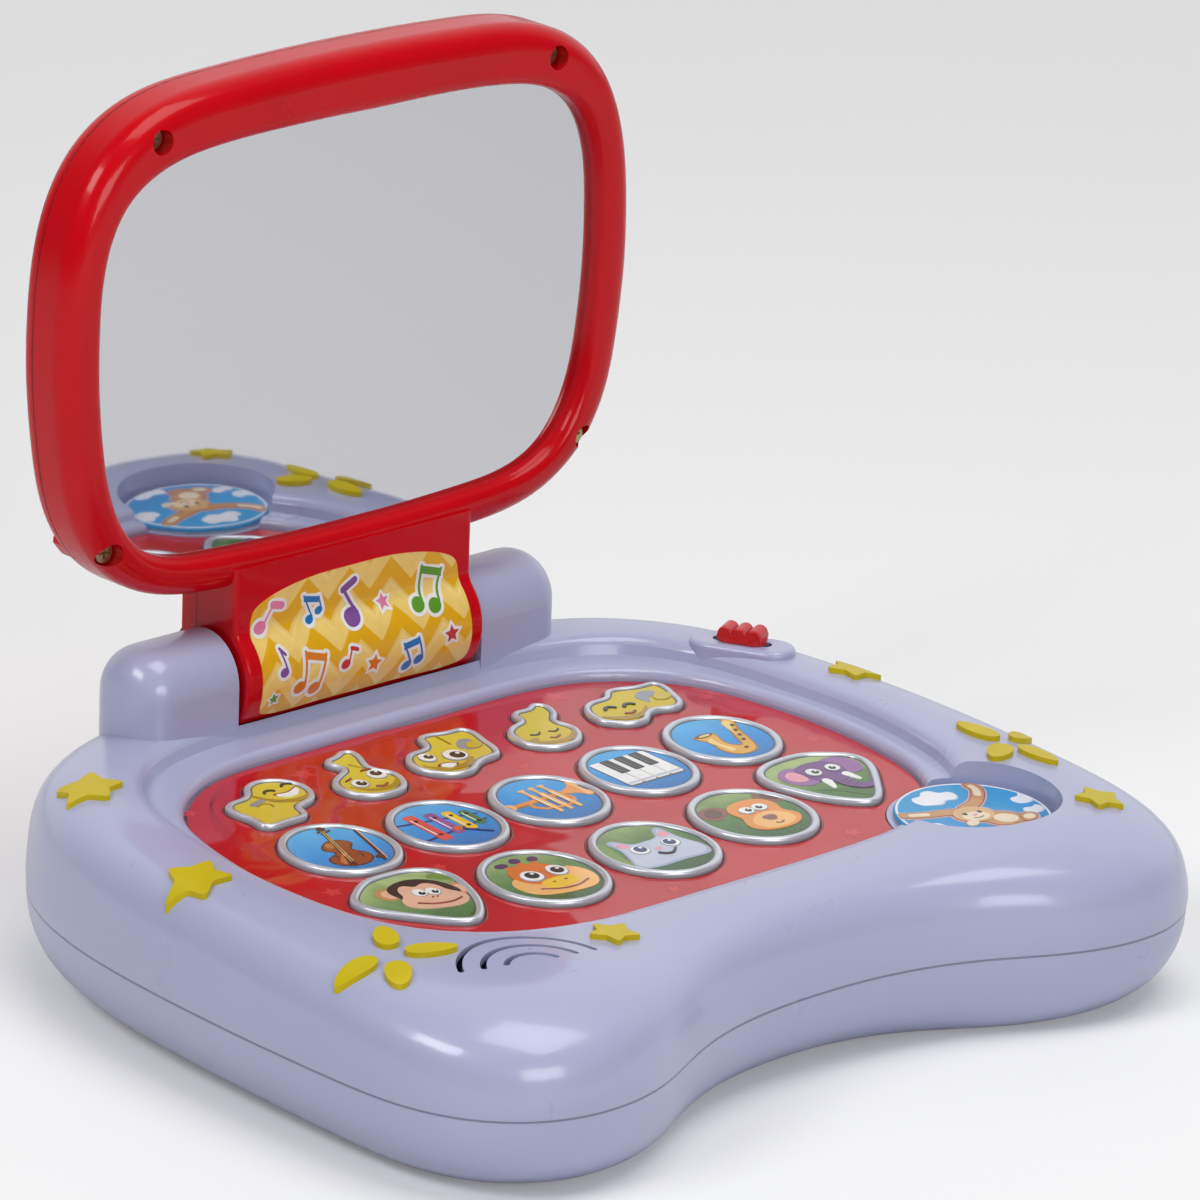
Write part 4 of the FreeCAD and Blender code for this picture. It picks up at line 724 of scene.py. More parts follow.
def giraffe(art):
    art.ink(LEAF, spline((-43.8, -45), (-40, -47.4), (-35.5, -44.6), (-38, -43), (-42, -42.6)))
    art.ink(AMBER, stroke([(-38.6, -26.5), (-37.6, -30)], 1.3),
            stroke([(-34.2, -26.4), (-34, -30)], 1.3), stroke([(-30.2, -27.2), (-31.2, -30)], 1.2))
    art.ink(PLUM, oval(-38.9, -26, 1.75, 1.25, -8), oval(-34.2, -25.4, 1.5, 1.35),
            oval(-29.8, -26.6, 1.45, 1.25, 20))
    art.ink(SAND, spline((-43.6, -35), (-40.8, -33.6), (-36.5, -36.2), (-31, -36.2),
                         (-26.4, -34.2), (-24, -37.4), (-24, -42.4), (-26.8, -46),
                         (-31.6, -46.7), (-37.8, -45.8), (-42.8, -43.4), (-44.6, -39.4)))
    art.ink(AMBER, spline((-41.6, -33.6), (-40.2, -29.4), (-36.6, -27.9), (-32.2, -28.6),
                          (-29.3, -31), (-28.2, -34.4), (-30.4, -37.6), (-34.6, -39.8),
                          (-39.6, -38.6)))
    art.ink(YELLOW, spline((-38.4, -39.6), (-33.6, -38), (-28.8, -39.2), (-28.4, -41.4),
                           (-33, -42.9), (-38, -42)))
    art.ink(BROWN, stroke([(-40.4, -41.6), (-36.4, -43.8), (-31.6, -44.4), (-27.2, -43)], 0.5),
            oval(-35, -40, 0.5, 0.35), oval(-31.6, -40.2, 0.5, 0.35))
    art.eyes((-37.3, -34.8, 2.75, 2.85, -37.1, -34.6, 1.75),
             (-29.9, -35.1, 2.35, 2.85, -29.9, -35.3, 1.65))


def cat(art):
    art.ink(LEAF_PALE, spline((-14.2, -33.2), (-11.6, -27.8), (-10.6, -31), (-11.6, -37),
                              (-12.8, -44), (-14.6, -39)))
    art.ink(FUR_DARK, spline((-9.6, -33.2), (-8.9, -29.4), (-7.8, -29.3), (-5, -32.9),
                             (-1, -33.6), (3.2, -32.8), (6, -29), (7.1, -28.9), (7.8, -32.6),
                             (8.4, -38), (9.6, -43.6), (8.6, -46.4), (3, -47.1), (-4, -47.1),
                             (-10, -46.6), (-12.6, -45), (-12, -41.4), (-10.4, -37.4)))
    art.ink(FUR, spline((-9, -33.6), (-8.2, -30.4), (-5.4, -33.4), (-1, -34), (3.4, -33.3),
                        (6.5, -30), (7.3, -33.4), (8, -38.2), (9, -43.6), (7.6, -45.8),
                        (2.6, -46.2), (-4, -46.2), (-9.8, -45.9), (-11.8, -44.6), (-11.2, -41),
                        (-9.8, -37.4)))
    art.ink(PINK, spline((-8, -31.6), (-5.9, -33.9), (-7, -34.6), (-8.4, -34), steps=5),
            spline((6.3, -31.2), (7, -33.6), (5.2, -34.3), (4.2, -33.4), steps=5),
            oval(-1, -38.7, 1.05, 0.75))
    art.eyes((-5.6, -37.2, 2.25, 2.3, -5.3, -37, 1.6), (3.8, -37.5, 2.15, 2.25, 3.6, -37.4, 1.55),
             pupil=NAVY)
    art.ink(BLACK, stroke([(-2.8, -41), (-1.4, -42.3), (0.3, -42.4), (2.3, -40.9)], 0.85, 0.7))


def dog(art):
    art.ink(BROWN, spline((20.4, -31.6), (21.6, -28), (25.2, -27), (28.4, -28.6), (28.9, -31),
                          (26.2, -33), (23, -34.2)),
            spline((39, -29), (40.2, -26.6), (43.2, -25.9), (45.2, -27.8), (45.4, -31.4),
                   (43.6, -33.6), (41, -32)))
    art.ink(BROWN_DARK, spline((21.6, -31.4), (22.6, -29), (25.6, -28.2), (26.6, -30.4),
                               (24, -32.8)),
            spline((41, -28.6), (43.2, -27.2), (44.4, -29.4), (43.6, -32), (41.8, -30.8)))
    art.ink(ORANGE, spline((27.6, -32.6), (29.4, -29.6), (33, -28.3), (37.2, -28.5),
                           (40.4, -30.6), (41, -34.4), (40.2, -37.6), (41.6, -40.6),
                           (39.8, -44.2), (35.2, -46), (29.8, -45.4), (26.4, -42.6),
                           (26.2, -39.8), (27.8, -36.6)))
    art.ink(SAND, spline((28, -41.4), (30.6, -37.6), (34, -36.4), (37.8, -37.6), (39.8, -41),
                         (37.8, -44.2), (33.6, -45.2), (29.6, -44.2)))
    art.ink(BROWN, spline((32.1, -38.9), (34, -38.2), (35.8, -38.9), (35.4, -40.6),
                          (34, -41.4), (32.6, -40.6)),
            stroke([(33, -42.9), (34, -43.5), (35.2, -42.9)], 0.6))
    art.eyes((32, -33.6, 1.95, 1.8, 32.4, -33.8, 0.85), (36.1, -33.6, 2, 1.8, 35.8, -33.8, 0.85))


def elephant(art):
    art.ink(LEAF, spline((55.6, -33.4), (60, -37.4), (64.4, -42.6), (68.4, -39.6),
                         (73.6, -34.6), (69.6, -36), (62.6, -36.6)))
    art.ink(VIOLET, spline((53, -27.4), (52.6, -23.2), (54.8, -20.6), (58.4, -19.7),
                           (61.4, -21.6), (61.8, -26), (60.2, -29.6), (56.6, -30.6)),
            spline((67, -21.6), (70.2, -19.7), (73.8, -20.6), (75.9, -23.8), (75.4, -27.8),
                   (72.8, -30.4), (69.4, -29.4), (67.6, -26)))
    art.ink(PINK, spline((54.4, -26.6), (54.6, -23.2), (57.2, -21.8), (58.8, -24.4), (57.6, -28)))
    art.ink(PURPLE, spline((58.8, -24.6), (59.4, -21.4), (62.4, -20), (66.4, -20),
                           (69.8, -21.6), (70.8, -25.2), (69.6, -29), (67.6, -31.8),
                           (64.4, -33), (61.2, -31.4), (59.4, -28.6)))
    art.ink(WHITE, stroke([(61.3, -30.6), (60, -34.6)], 2.6, 1.1),
            stroke([(68.3, -30), (69, -33.8)], 2.5, 1))
    art.ink(PURPLE, stroke([(64.6, -29.6), (64.8, -33.4), (66.2, -37.2), (69.2, -38),
                            (71.6, -36.2)], 4.8, 1.7, steps=10))
    art.ink(PLUM, stroke([(63.6, -33), (65.8, -32.8)], 0.3),
            stroke([(63.9, -34.6), (66.2, -34.1)], 0.3), stroke([(64.8, -36.4), (67, -35.6)], 0.3))
    art.eyes((62, -25.2, 1.9, 2, 62.3, -25.5, 0.95), (68, -25.4, 1.75, 1.9, 67.7, -25.7, 0.9))


def violin(art):
    body = spline((-65, 7), (-61.4, 8.6), (-58.2, 6.9), (-57.9, 4.2), (-60, 2), (-58.6, -0.9),
                  (-58.7, -4.2), (-62.2, -6.7), (-66.8, -6.1), (-69.5, -3), (-68.4, 0.4),
                  (-65.2, 2), (-66.4, 4.6))
    art.ink(WOOD_DARK, body)
    art.ink(WOOD, inset(body, 0.45))
    art.ink(WOOD_PALE, spline((-67.6, -3.6), (-66.2, -1.2), (-64.2, 0.4), (-64.4, -3.4),
                              (-66, -5.2)),
            spline((-64.6, 5.6), (-63, 7.4), (-62.2, 5.6), (-63.6, 4.4)))
    art.ink(WOOD_DARK, stroke([(-63.4, 1.6), (-58.9, 14)], 1.35, 0.9), oval(-58.5, 14.9, 1, 1.2),
            stroke([(-66.2, -5.6), (-64.7, -2.2)], 1.9, 1.5),
            stroke([(-66.9, -1.4), (-66.2, -0.2), (-66.6, 1)], 0.35),
            stroke([(-61, -3.2), (-60.4, -2), (-60.9, -0.9)], 0.35),
            box(-64, -0.9, 2.8, 0.5, 20, 0.2),
            stroke([(-60.4, 13.6), (-57.6, 14.6)], 0.5), stroke([(-60.1, 12.4), (-57.2, 13.2)], 0.5))
    art.ink(GOLD_PALE, stroke([(-65.6, -4.2), (-59.4, 13.6)], 0.16),
            stroke([(-64.9, -4.2), (-58.9, 13.4)], 0.16))
    # bow
    art.ink(WOOD_DARK, stroke([(-57.9, -7.2), (-55.2, 0.4), (-52.3, 10.2)], 0.75, 0.4),
            stroke([(-57.4, -5.8), (-58.2, -5.2)], 1.3))
    art.ink(PEACH, stroke([(-57, -6.8), (-52, 9.6)], 0.25))


def xylophone(art):
    turn = -2.5
    for y, end in (6, (-21.4, 1.9)), (-4.6, (-21.4, -1.6)):
        art.ink(NAVY, stroke([(-42.3 if y > 0 else -42.2, y), end], 0.85, 0.6))
    art.level -= 1
    art.verts, art.faces, art.face_slots, art.smooth = [], [], [], []
    art.level = 0
    art.ink(NAVY, stroke([(-42.3, 6), (-21.4, 1.9)], 0.85, 0.6),
            stroke([(-42.2, -4.6), (-21.4, -1.6)], 0.85, 0.6))
    # bars: centre x, y, width, height, ink
    bars = ((-37.1, 1.4, 3.3, 16, ROSE), (-31.9, 1.4, 3, 13.4, VIOLET),
            (-27.7, 0.9, 2.8, 11.4, YELLOW), (-23.9, 0.6, 2.6, 8.6, GREEN))
    art.ink_beside([
        [(material, box(x, y, width, height, turn, 0.9)),
         (WHITE, box(x - width * 0.24, y + 0.6, 0.35, height * 0.62, turn, 0.15)),
         (BLACK, oval(x + 0.1, y + height * 0.27, 0.55, 0.55),
          oval(x - 0.1, y - height * 0.3, 0.55, 0.55))]
        for x, y, width, height, material in bars])
    art.ink(NAVY, stroke([(-31, -3.2), (-25.6, -8.6)], 0.7, 0.6))
    art.ink(AMBER, oval(-31.4, -2.8, 1.2, 1.1))


def trumpet(art):
    tube = spline((-6.8, 0.2), (-1, 0.6), (3.4, -0.6), (4.8, -3.2), (3.2, -6), (-2, -6.9),
                  (-6.6, -5.4), (-8.4, -2.4))
    # (distance inwards, height above the key face)
    section = (0, 0), (0.25, 0.12), (0.65, 0.22), (1.05, 0.12), (1.35, 0), (0.6, -0.05)
    art.ring(shift(tube, ART_X, ART_Y), [(d, KEY_TOP + h) for d, h in section], ORANGE)
    art.ink(GOLD_DARK, stroke([(-11.6, -0.9), (6.6, -0.5)], 1.9))
    art.ink(ORANGE, stroke([(-12, -0.5), (6.2, -0.1)], 1.5, 1.7),
            spline((4.8, 0.6), (7.4, 2.2), (9.6, 5.2), (10.5, 4.6), (9.7, 0), (10.1, -4.6),
                   (9.2, -5), (7.2, -2.4), (4.8, -1.2)))
    art.ink(SAND, spline((9.3, 4.6), (10.3, 4.2), (9.6, 0), (9.9, -4.2), (9, -4.4), (8.7, 0)),
            spline((-13, 1.2), (-12, 0.9), (-11.5, -0.5), (-12, -1.9), (-13, -2.2),
                   (-12.8, -0.5)))
    # three valves
    art.ink_beside([
        [(GOLD_DARK, box(x + 0.15, -2, 1.9, 9.2, 0, 0.5)),
         (SAND, box(x, -2, 1.5, 9, 0, 0.5), box(x, 3.9, 0.7, 3.4, 0, 0.2),
          box(x, 5.7, 1.9, 0.8, 0, 0.3), box(x, -7.6, 1, 2.6, 0, 0.3)),
         (WHITE, box(x - 0.35, -1.8, 0.25, 6.6, 0, 0.1))]
        for x in (-3.9, -0.9, 2.1)])


def piano(art):
    white_x = [22.7 + 4.36 * i for i in range(4)]
    black_x = 25.3, 29.9, 34.5
    art.ink(GREY_DARK, box(29.3, 1.1, 17.9, 15.6, 0, 0.9))
    art.ink(WHITE, *[box(x, 1.4, 4.1, 14.9, 0, 0.7) for x in white_x])
    art.ink(FUR, *[box(x, -5, 3.7, 1, 0, 0.3) for x in white_x])
    art.ink(BLACK, *[box(x, 4.7, 2.9, 8.2, 0, 0.35) for x in black_x])
    art.ink(GREY_DARK, *[box(x - 0.75, 5, 0.4, 6.6, 0, 0.15) for x in black_x])


def saxophone(art):
    art.ink(GOLD_DARK, spline(
        (53.4, 7.4), (56.6, 8.2), (60, 7.4), (59, 3.4), (59.2, -0.4), (60.6, -1.4), (61.8, 0.4),
        (63.4, 4.4), (65.8, 9.4), (68.4, 13.6), (71.2, 12.8), (69.2, 9), (66.6, 3.6), (64.6, -2),
        (62.4, -5.8), (58.4, -6.9), (54.8, -5), (54, -0.6), (54.6, 3.6), steps=5))
    art.ink(GOLD, spline(
        (53.9, 7), (56.6, 7.7), (59.4, 7), (58.5, 3.4), (58.7, -0.8), (60.4, -2.2), (62.2, 0),
        (63.8, 4), (66.2, 9), (68.6, 13), (70.4, 12.5), (68.6, 9.2), (66, 3.6), (64, -2),
        (62, -5.3), (58.4, -6.4), (55.3, -4.6), (54.5, -0.6), (55.1, 3.6), steps=5))
    art.ink(GOLD_PALE, spline((55.6, 4.6), (56.6, 5), (56.5, 1), (57.4, -3.2), (56.4, -3.8),
                              (55.4, -0.4)),
            spline((63.9, 3), (65.6, 6.6), (68, 11.4), (67.4, 11.6), (64.8, 7)))
    art.ink(BROWN_DARK, oval(56.7, 7.2, 2.7, 0.95, 2))
    art.ink(GOLD_PALE, oval(56.7, 7.05, 1.9, 0.5, 2))
    art.ink(BROWN_DARK, *[oval(x, y, 0.55, 0.5) for x, y in (
        (63.4, 0.4), (64.6, 3), (65.9, 5.8), (67.3, 8.6), (60.4, -3.8))])
    art.ink(BLACK, stroke([(69.4, 12.9), (71.6, 10.6)], 1.3, 0.8))


def note_one(art):
    art.ink(GREY, spline((-62.4, 35.4), (-60.2, 36.5), (-57.8, 36.6), (-57.4, 35.6), (-60, 35),
                         (-61.6, 34.2)))
    art.ink(MUSTARD, stroke([(-61.4, 33.8), (-59.4, 34.4), (-57.9, 33.4), (-58.1, 31.9)], 0.45))
    art.ink(MUSTARD, spline((-58.6, 40.6), (-57.2, 35.6), (-53, 31.8), (-47.6, 31.8),
                            (-44, 34.8), (-45.6, 33.9), (-49, 32.8), (-53.4, 33.6),
                            (-56.6, 36.8)))
    art.ink(BLACK, eyelid(-53.2, 39.6, 1.7), eyelid(-47, 40.7, 1.7))
    art.ink(WHITE, spline((-53, 36.9), (-50, 36.5), (-46.4, 37.8), (-46.9, 35.8), (-49.6, 34.3),
                          (-52.2, 35)))
    art.ink(SMILE, stroke([(-53.4, 37.2), (-50, 36.6), (-46.2, 38.1)], 0.4))


def note_two(art):
    art.ink(MUSTARD, spline((-35.4, 31), (-33.2, 26.6), (-28.4, 24.9), (-23.6, 26.4),
                            (-21.4, 30.6), (-24, 27.9), (-28.6, 26.6), (-33, 28.4)),
            stroke([(-24.6, 37.4), (-26.2, 41.6)], 0.6))
    art.eyes((-31.9, 31.2, 2, 2.2, -31.7, 30.9, 1.35), (-24.7, 33.5, 2.4, 2.5, -24.6, 33.9, 1.45))
    art.ink(SMILE, stroke([(-29.6, 27.7), (-28, 26.9), (-26.4, 27.7)], 0.6),
            stroke([(-34, 33.9), (-31.8, 34.6)], 0.4), stroke([(-26.6, 37), (-23.2, 36.8)], 0.4))


def note_three(art):
    art.ink(GREY, spline((3.4, 36.6), (7.2, 38.9), (8.4, 38), (7.6, 34), (4.4, 32.8), (3, 34.4)))
    art.ink(MUSTARD, oval(7, 34.4, 2.5, 1.9, 20))
    art.ink(LEMON, oval(7.2, 34.7, 2.3, 1.7, 20))
    art.ink(MUSTARD, spline((-12.2, 31), (-10.2, 26.8), (-5, 24.9), (0.2, 26.6), (1.6, 29),
                            (-2, 27.3), (-6.8, 26.9), (-10.6, 28.9)),
            stroke([(2.6, 38), (3, 43.6)], 0.5))
    art.eyes((-8.1, 34.3, 1.9, 2.4, -7.6, 34.3, 1.2), (-1.3, 31.9, 3, 3, -0.9, 31.5, 1.9))
    art.ink(WHITE, spline((-8.8, 28.6), (-6.8, 28.6), (-4.8, 27.6), (-6.4, 26.4), (-8.2, 27)))
    art.ink(SMILE, stroke([(-9.2, 28.9), (-6.8, 28.8), (-4.4, 27.4)], 0.35))


def note_four(art):
    art.ink(MUSTARD, spline((19.2, 29.4), (21.4, 25.6), (26.2, 23.9), (31.6, 25), (34, 29),
                            (31, 26.6), (26.4, 25.6), (22, 27)),
            oval(21.4, 28.6, 1.2, 0.8))
    art.ink(BLACK, eyelid(24.1, 31.2, 1.6, side=-1, width=0.55),
            eyelid(29.5, 30.6, 1.6, side=-1, width=0.55))
    art.ink(SMILE, stroke([(25.6, 27.5), (27, 26.9), (28.6, 27.7)], 0.6))


def note_five(art):
    art.ink(GREY, spline((61.2, 36.4), (66.2, 37.2), (67, 35.6), (65.6, 34.2), (63, 33.4),
                         (61.6, 31.2), (60.6, 33.4)))
    art.ink(MUSTARD, oval(66.6, 32.4, 2.9, 2.1, 15))
    art.ink(LEMON, oval(66.8, 32.7, 2.7, 1.9, 15))
    art.ink(MUSTARD, spline((44.8, 30.4), (47, 26.9), (51.6, 25.2), (56.4, 26.6), (58.8, 30),
                            (56, 28.1), (51.6, 27.2), (47.6, 28.6)))
    art.ink(BLACK, eyelid(50.2, 33.8, 1.7, width=0.95, spread=66),
            eyelid(55.6, 32.9, 1.7, width=0.95, spread=66))
    art.ink(SMILE, stroke([(51.4, 28.9), (52.8, 28.3), (54.4, 28.9)], 0.6))


# each function is named after the key it draws
for draw in (monkey, giraffe, cat, dog, elephant, violin, xylophone, trumpet, piano, saxophone,
             note_one, note_two, note_three, note_four, note_five):
    art = Art(draw.__name__)
    draw(art)
    art.finish("key_" + art.key)


# ------------------------------------------------------ key rims, panel print
def build_rim(key, loop, groove_shade_ink):
    """Rounded silver rim with a dark line along its inner edge, painted shade of the groove between
    rim and picture.
    """
    width, height = (1.6, 0.75) if key in NOTE_OUTLINES else (1.95, 0.85)
    edge = 0.10
    profile = [(edge, KEY_TOP - 0.55)]
    for i in range(9):
        angle = math.pi * i / 8
        profile.append((edge + width / 2 - width / 2 * math.cos(angle),
                        KEY_TOP - 0.25 + height * math.sin(angle) ** 0.8))
    profile.append((edge + width, KEY_TOP - 0.55))
    rim = Piece("rim_" + key)
    rim.ring(loop, profile, SILVER)
    # painted shade: dark ring inside the rim, for the groove between rim and picture
    near, far = width + 0.02, width + 0.42
    rim.ring(loop, [(near, KEY_TOP - 0.3), (near, KEY_TOP + 0.07), (far, KEY_TOP + 0.05),
                    (far, KEY_TOP - 0.3)], groove_shade_ink)
    rim.finish("key_" + key)


# x, y, radius, turn in degrees
PANEL_STARS = (
    (-36, 46.6, 3.2, 100), (47.4, 50.2, 3.3, 80), (10.6, 20.6, 2.3, 95), (78.4, 29.4, 2.6, 85),
    (46.6, -54.4, 3, 100), (-12, -55.6, 2, 90), (-78, -12, 2.8, 80), (-47.6, -14.6, 2.2, 60),
    (80.6, -6, 2.4, 95), (-74, 43, 2.2, 110))


def build_panel_print():
    """Dark shadows round the keys, faint stars and two sets of stave lines."""
    shade, star_ink, stave_ink = paint(120, 4, 14), paint(214, 46, 48), paint(176, 22, 30)
    stave_top = 0.035
    deco = Piece("panel_print_shapes")
    for loop in LOOPS.values():
        deco.ring(loop, [(-0.28, PRINT_FOOT), (-0.28, 0.035), (-0.85, 0.03),
                         (-0.85, PRINT_FOOT)], shade)
    for x, y, radius, turn in PANEL_STARS:
        deco.add(star(x, y, radius, turn), star_ink, PRINT_FOOT, PANEL_PRINT_TOP)
    for dy in (0.0, 1.7, 3.4, 5.1):
        path = [(-79.6 + dy * 0.5, 14 - dy), (-75 + dy * 0.4, 32.6 - dy * 0.3),
                (-66.6, 44.6 - dy * 0.15), (-58, 51.2 - dy * 0.5)]
        deco.add(stroke(path, 0.32), stave_ink, PRINT_FOOT, stave_top)
    for dy in (0.0, 1.3, 2.6):
        path = [(-14.6, 50 + dy), (-4, 51.6 + dy), (8, 50.6 + dy), (20, 51.8 + dy)]
        deco.add(stroke(path, 0.3), stave_ink, PRINT_FOOT, stave_top)
    deco.finish("base", "red_panel")


# dark grey ink for the painted shade in the groove inside each rim
rim_groove_shade = paint(92, 96, 106)
for key, loop in LOOPS.items():
    build_rim(key, loop, rim_groove_shade)
build_panel_print()


# ------------------------------------------------------------- picture disc
def within(points, radius):
    """The points, pulled in to stay inside a circle about the disc centre."""
    out = []
    for x, y in points:
        distance = math.hypot(x - DISC_X, y - DISC_Y)
        scale = min(1.0, radius / distance) if distance else 1.0
        out.append((DISC_X + (x - DISC_X) * scale, DISC_Y + (y - DISC_Y) * scale))
    return out


CLOUDS = (
    ((68.2, -52.6), (69.6, -50.6), (72, -50.6), (73.6, -49.2), (76.4, -49.6), (77.6, -51.6),
     (79.8, -52.4), (80, -54.8), (77.8, -56.6), (75.6, -56), (73.6, -57.2), (70.8, -56.4),
     (69, -55.4)),
    ((88.4, -65.4), (89.6, -63.6), (91.6, -63.6), (93.2, -62.2), (94.6, -64.2), (93.6, -67.2),
     (90.8, -68), (88.8, -67)),
    ((86.4, -71.2), (88, -69.8), (89.8, -70.4), (91.4, -69.8), (92, -72), (89.6, -73.8),
     (87.2, -73.2)),
    ((57.2, -64), (59.6, -62.6), (61.6, -64.4), (63.6, -65), (64.2, -67.6), (62, -70),
     (58, -69.6)),
    ((68, -80.6), (71, -79), (74, -80), (77, -79), (78, -82), (72, -83.8)))


def bunny_layers():
    """(ink, *shapes), lowest first."""
    outline, fur, cream = paint(150, 84, 50), paint(206, 148, 84), paint(246, 226, 192)
    middle, halo = paint(226, 180, 124), paint(214, 176, 178)
    right_ear = [(75.6, -62.4), (79.6, -61.4), (83.4, -58.8), (86.4, -55.4), (86.9, -52.6)]
    left_ear = [(73, -63.2), (69.6, -61.8), (66, -60.6), (62.6, -59.2), (60.2, -57.6)]
    return (
        (halo, stroke(right_ear, 4.6, 4.4), stroke(left_ear, 4.6, 4.2),
         oval(74.6, -66.4, 6, 5.2, -12), oval(78.8, -72, 5.6, 4.9, -30),
         oval(84.6, -74.6, 3.4, 2.8, 20), oval(79.6, -77.4, 3.2, 2.6)),
        (outline, stroke(right_ear, 3.7, 3.5), stroke(left_ear, 3.7, 3.4),
         oval(74.6, -66.4, 5.5, 4.7, -12), oval(78.8, -72, 5.1, 4.4, -30),
         oval(84.6, -74.6, 2.9, 2.3, 20), oval(79.6, -77.4, 2.7, 2.1)),
        (fur, stroke(right_ear, 3.1, 2.9), stroke(left_ear, 3.1, 2.8),
         oval(78.8, -72, 4.8, 4.1, -30), oval(84.6, -74.6, 2.6, 2, 20),
         oval(79.6, -77.4, 2.4, 1.8)),
        (cream, stroke([(84.2, -58), (86.2, -55.2), (86.6, -53.2)], 1.9, 1.5),
         stroke([(65, -60.2), (61.6, -58.6)], 1.7, 1.6), oval(79.4, -72.4, 3, 2.6, -30),
         oval(84.8, -74.7, 1.7, 1.3, 20)),
        (middle, oval(74.6, -66.4, 5.2, 4.4, -12)),
        (cream, oval(74.2, -67.6, 3.5, 2.5, -12), oval(70.6, -70.2, 1.8, 1.4, 20)),
        (BLACK, oval(72.6, -65.4, 0.55, 0.7), oval(76.6, -66.2, 0.55, 0.7),
         stroke([(73, -68.3), (74.2, -68.8), (75.6, -68.6)], 0.3)),
        (PINK, oval(74.4, -67, 0.7, 0.5)))


def build_disc_picture():
    """A bunny among clouds, inside a raised white ring."""
    cloud_ink, cloud_shade = paint(244, 246, 252), paint(196, 214, 236)
    foot, height = DISC_TOP - 0.3, DISC_TOP + 0.10
    disc = Piece("disc_picture")
    # (distance inwards, height above the disc face)
    section = ((0.05, -0.7), (0.05, -0.5), (0.35, 0.02), (0.6, 0.07), (0.95, 0.02), (0.95, -0.7))
    disc.ring(oval(DISC_X, DISC_Y, 18.9, 18.9, count=96),
              [(d, DISC_TOP + h) for d, h in section], cloud_ink)
    for cloud in CLOUDS:
        shape = spline(*cloud)
        disc.add(within(shift(shape, 0.15, -0.3), 18.1), cloud_shade, foot, DISC_TOP + 0.05)
        disc.add(within(inset(shape, 0.15), 18.1), cloud_ink, foot, height)
    for material, *shapes in bunny_layers():
        height += 0.045
        for shape in shapes:
            disc.add(within(shape, 18.4), material, foot, height)
    disc.finish("base", "picture")


build_disc_picture()

# -------------------------------------------------------------- label icons
sticker = PARTS["note_sticker"].data
STICKER_SURFACE = BVHTree.FromPolygons([v.co[:] for v in sticker.vertices],
                                       [p.vertices[:] for p in sticker.polygons])


def on_label(x, z, height):
    """Place on the sticker, mm, found by a ray along +Y, else by the nearest point."""
    hit, normal, _, _ = STICKER_SURFACE.ray_cast(Vector((x / 1000, 0.03, z / 1000)),
                                                 Vector((0, 1, 0)))
    if hit is None:
        hit, _, _, _ = STICKER_SURFACE.find_nearest(Vector((x / 1000, 0.0702, z / 1000)))
        normal = Vector((0, -1, 0))
    if normal.y > 0:
        normal = -normal
    return hit + normal * (height / 1000)


class LabelIcons(Piece):
    """Coloured icons on white borders. Places are (x, z), mm."""
    BORDER = 0.85

    def icon(self, border, shapes, material):
        for group, ink, top in (border, WHITE, 0.05), (shapes, material, 0.09):
            for i, shape in enumerate(group):
                self.add(shape, ink, -0.02, top + 0.004 * i, rows=1.1)

    def head(self, centre, radius, grow):
        return oval(*centre, radius * 1.15 + grow, radius * 0.9 + grow, 20)

    def note(self, head, foot, top, flag, radius, flag_width, material, stem=0.55):
        def shapes(grow):
            return [self.head(head, radius, grow), stroke([foot, top], stem + 2 * grow),
                    stroke([top, flag], flag_width + 1.7 * grow)]

        self.icon(shapes(self.BORDER), shapes(0.0), material)

    def pair(self, heads, feet, tops, radius, beam, material, stem):
        """Two notes joined by a beam."""
        def shapes(grow):
            (ax, ay), (bx, by) = tops
            out, down = grow * 0.8, beam + grow * 0.9
            return ([self.head(centre, radius, grow) for centre in heads]
                    + [stroke([foot, top], stem + 2 * grow) for foot, top in zip(feet, tops)]
                    + [[(ax - out, ay + out), (ax - out, ay - down),
                        (bx + out, by - down), (bx + out, by + out)]])

        self.icon(shapes(self.BORDER), shapes(0.0), material)


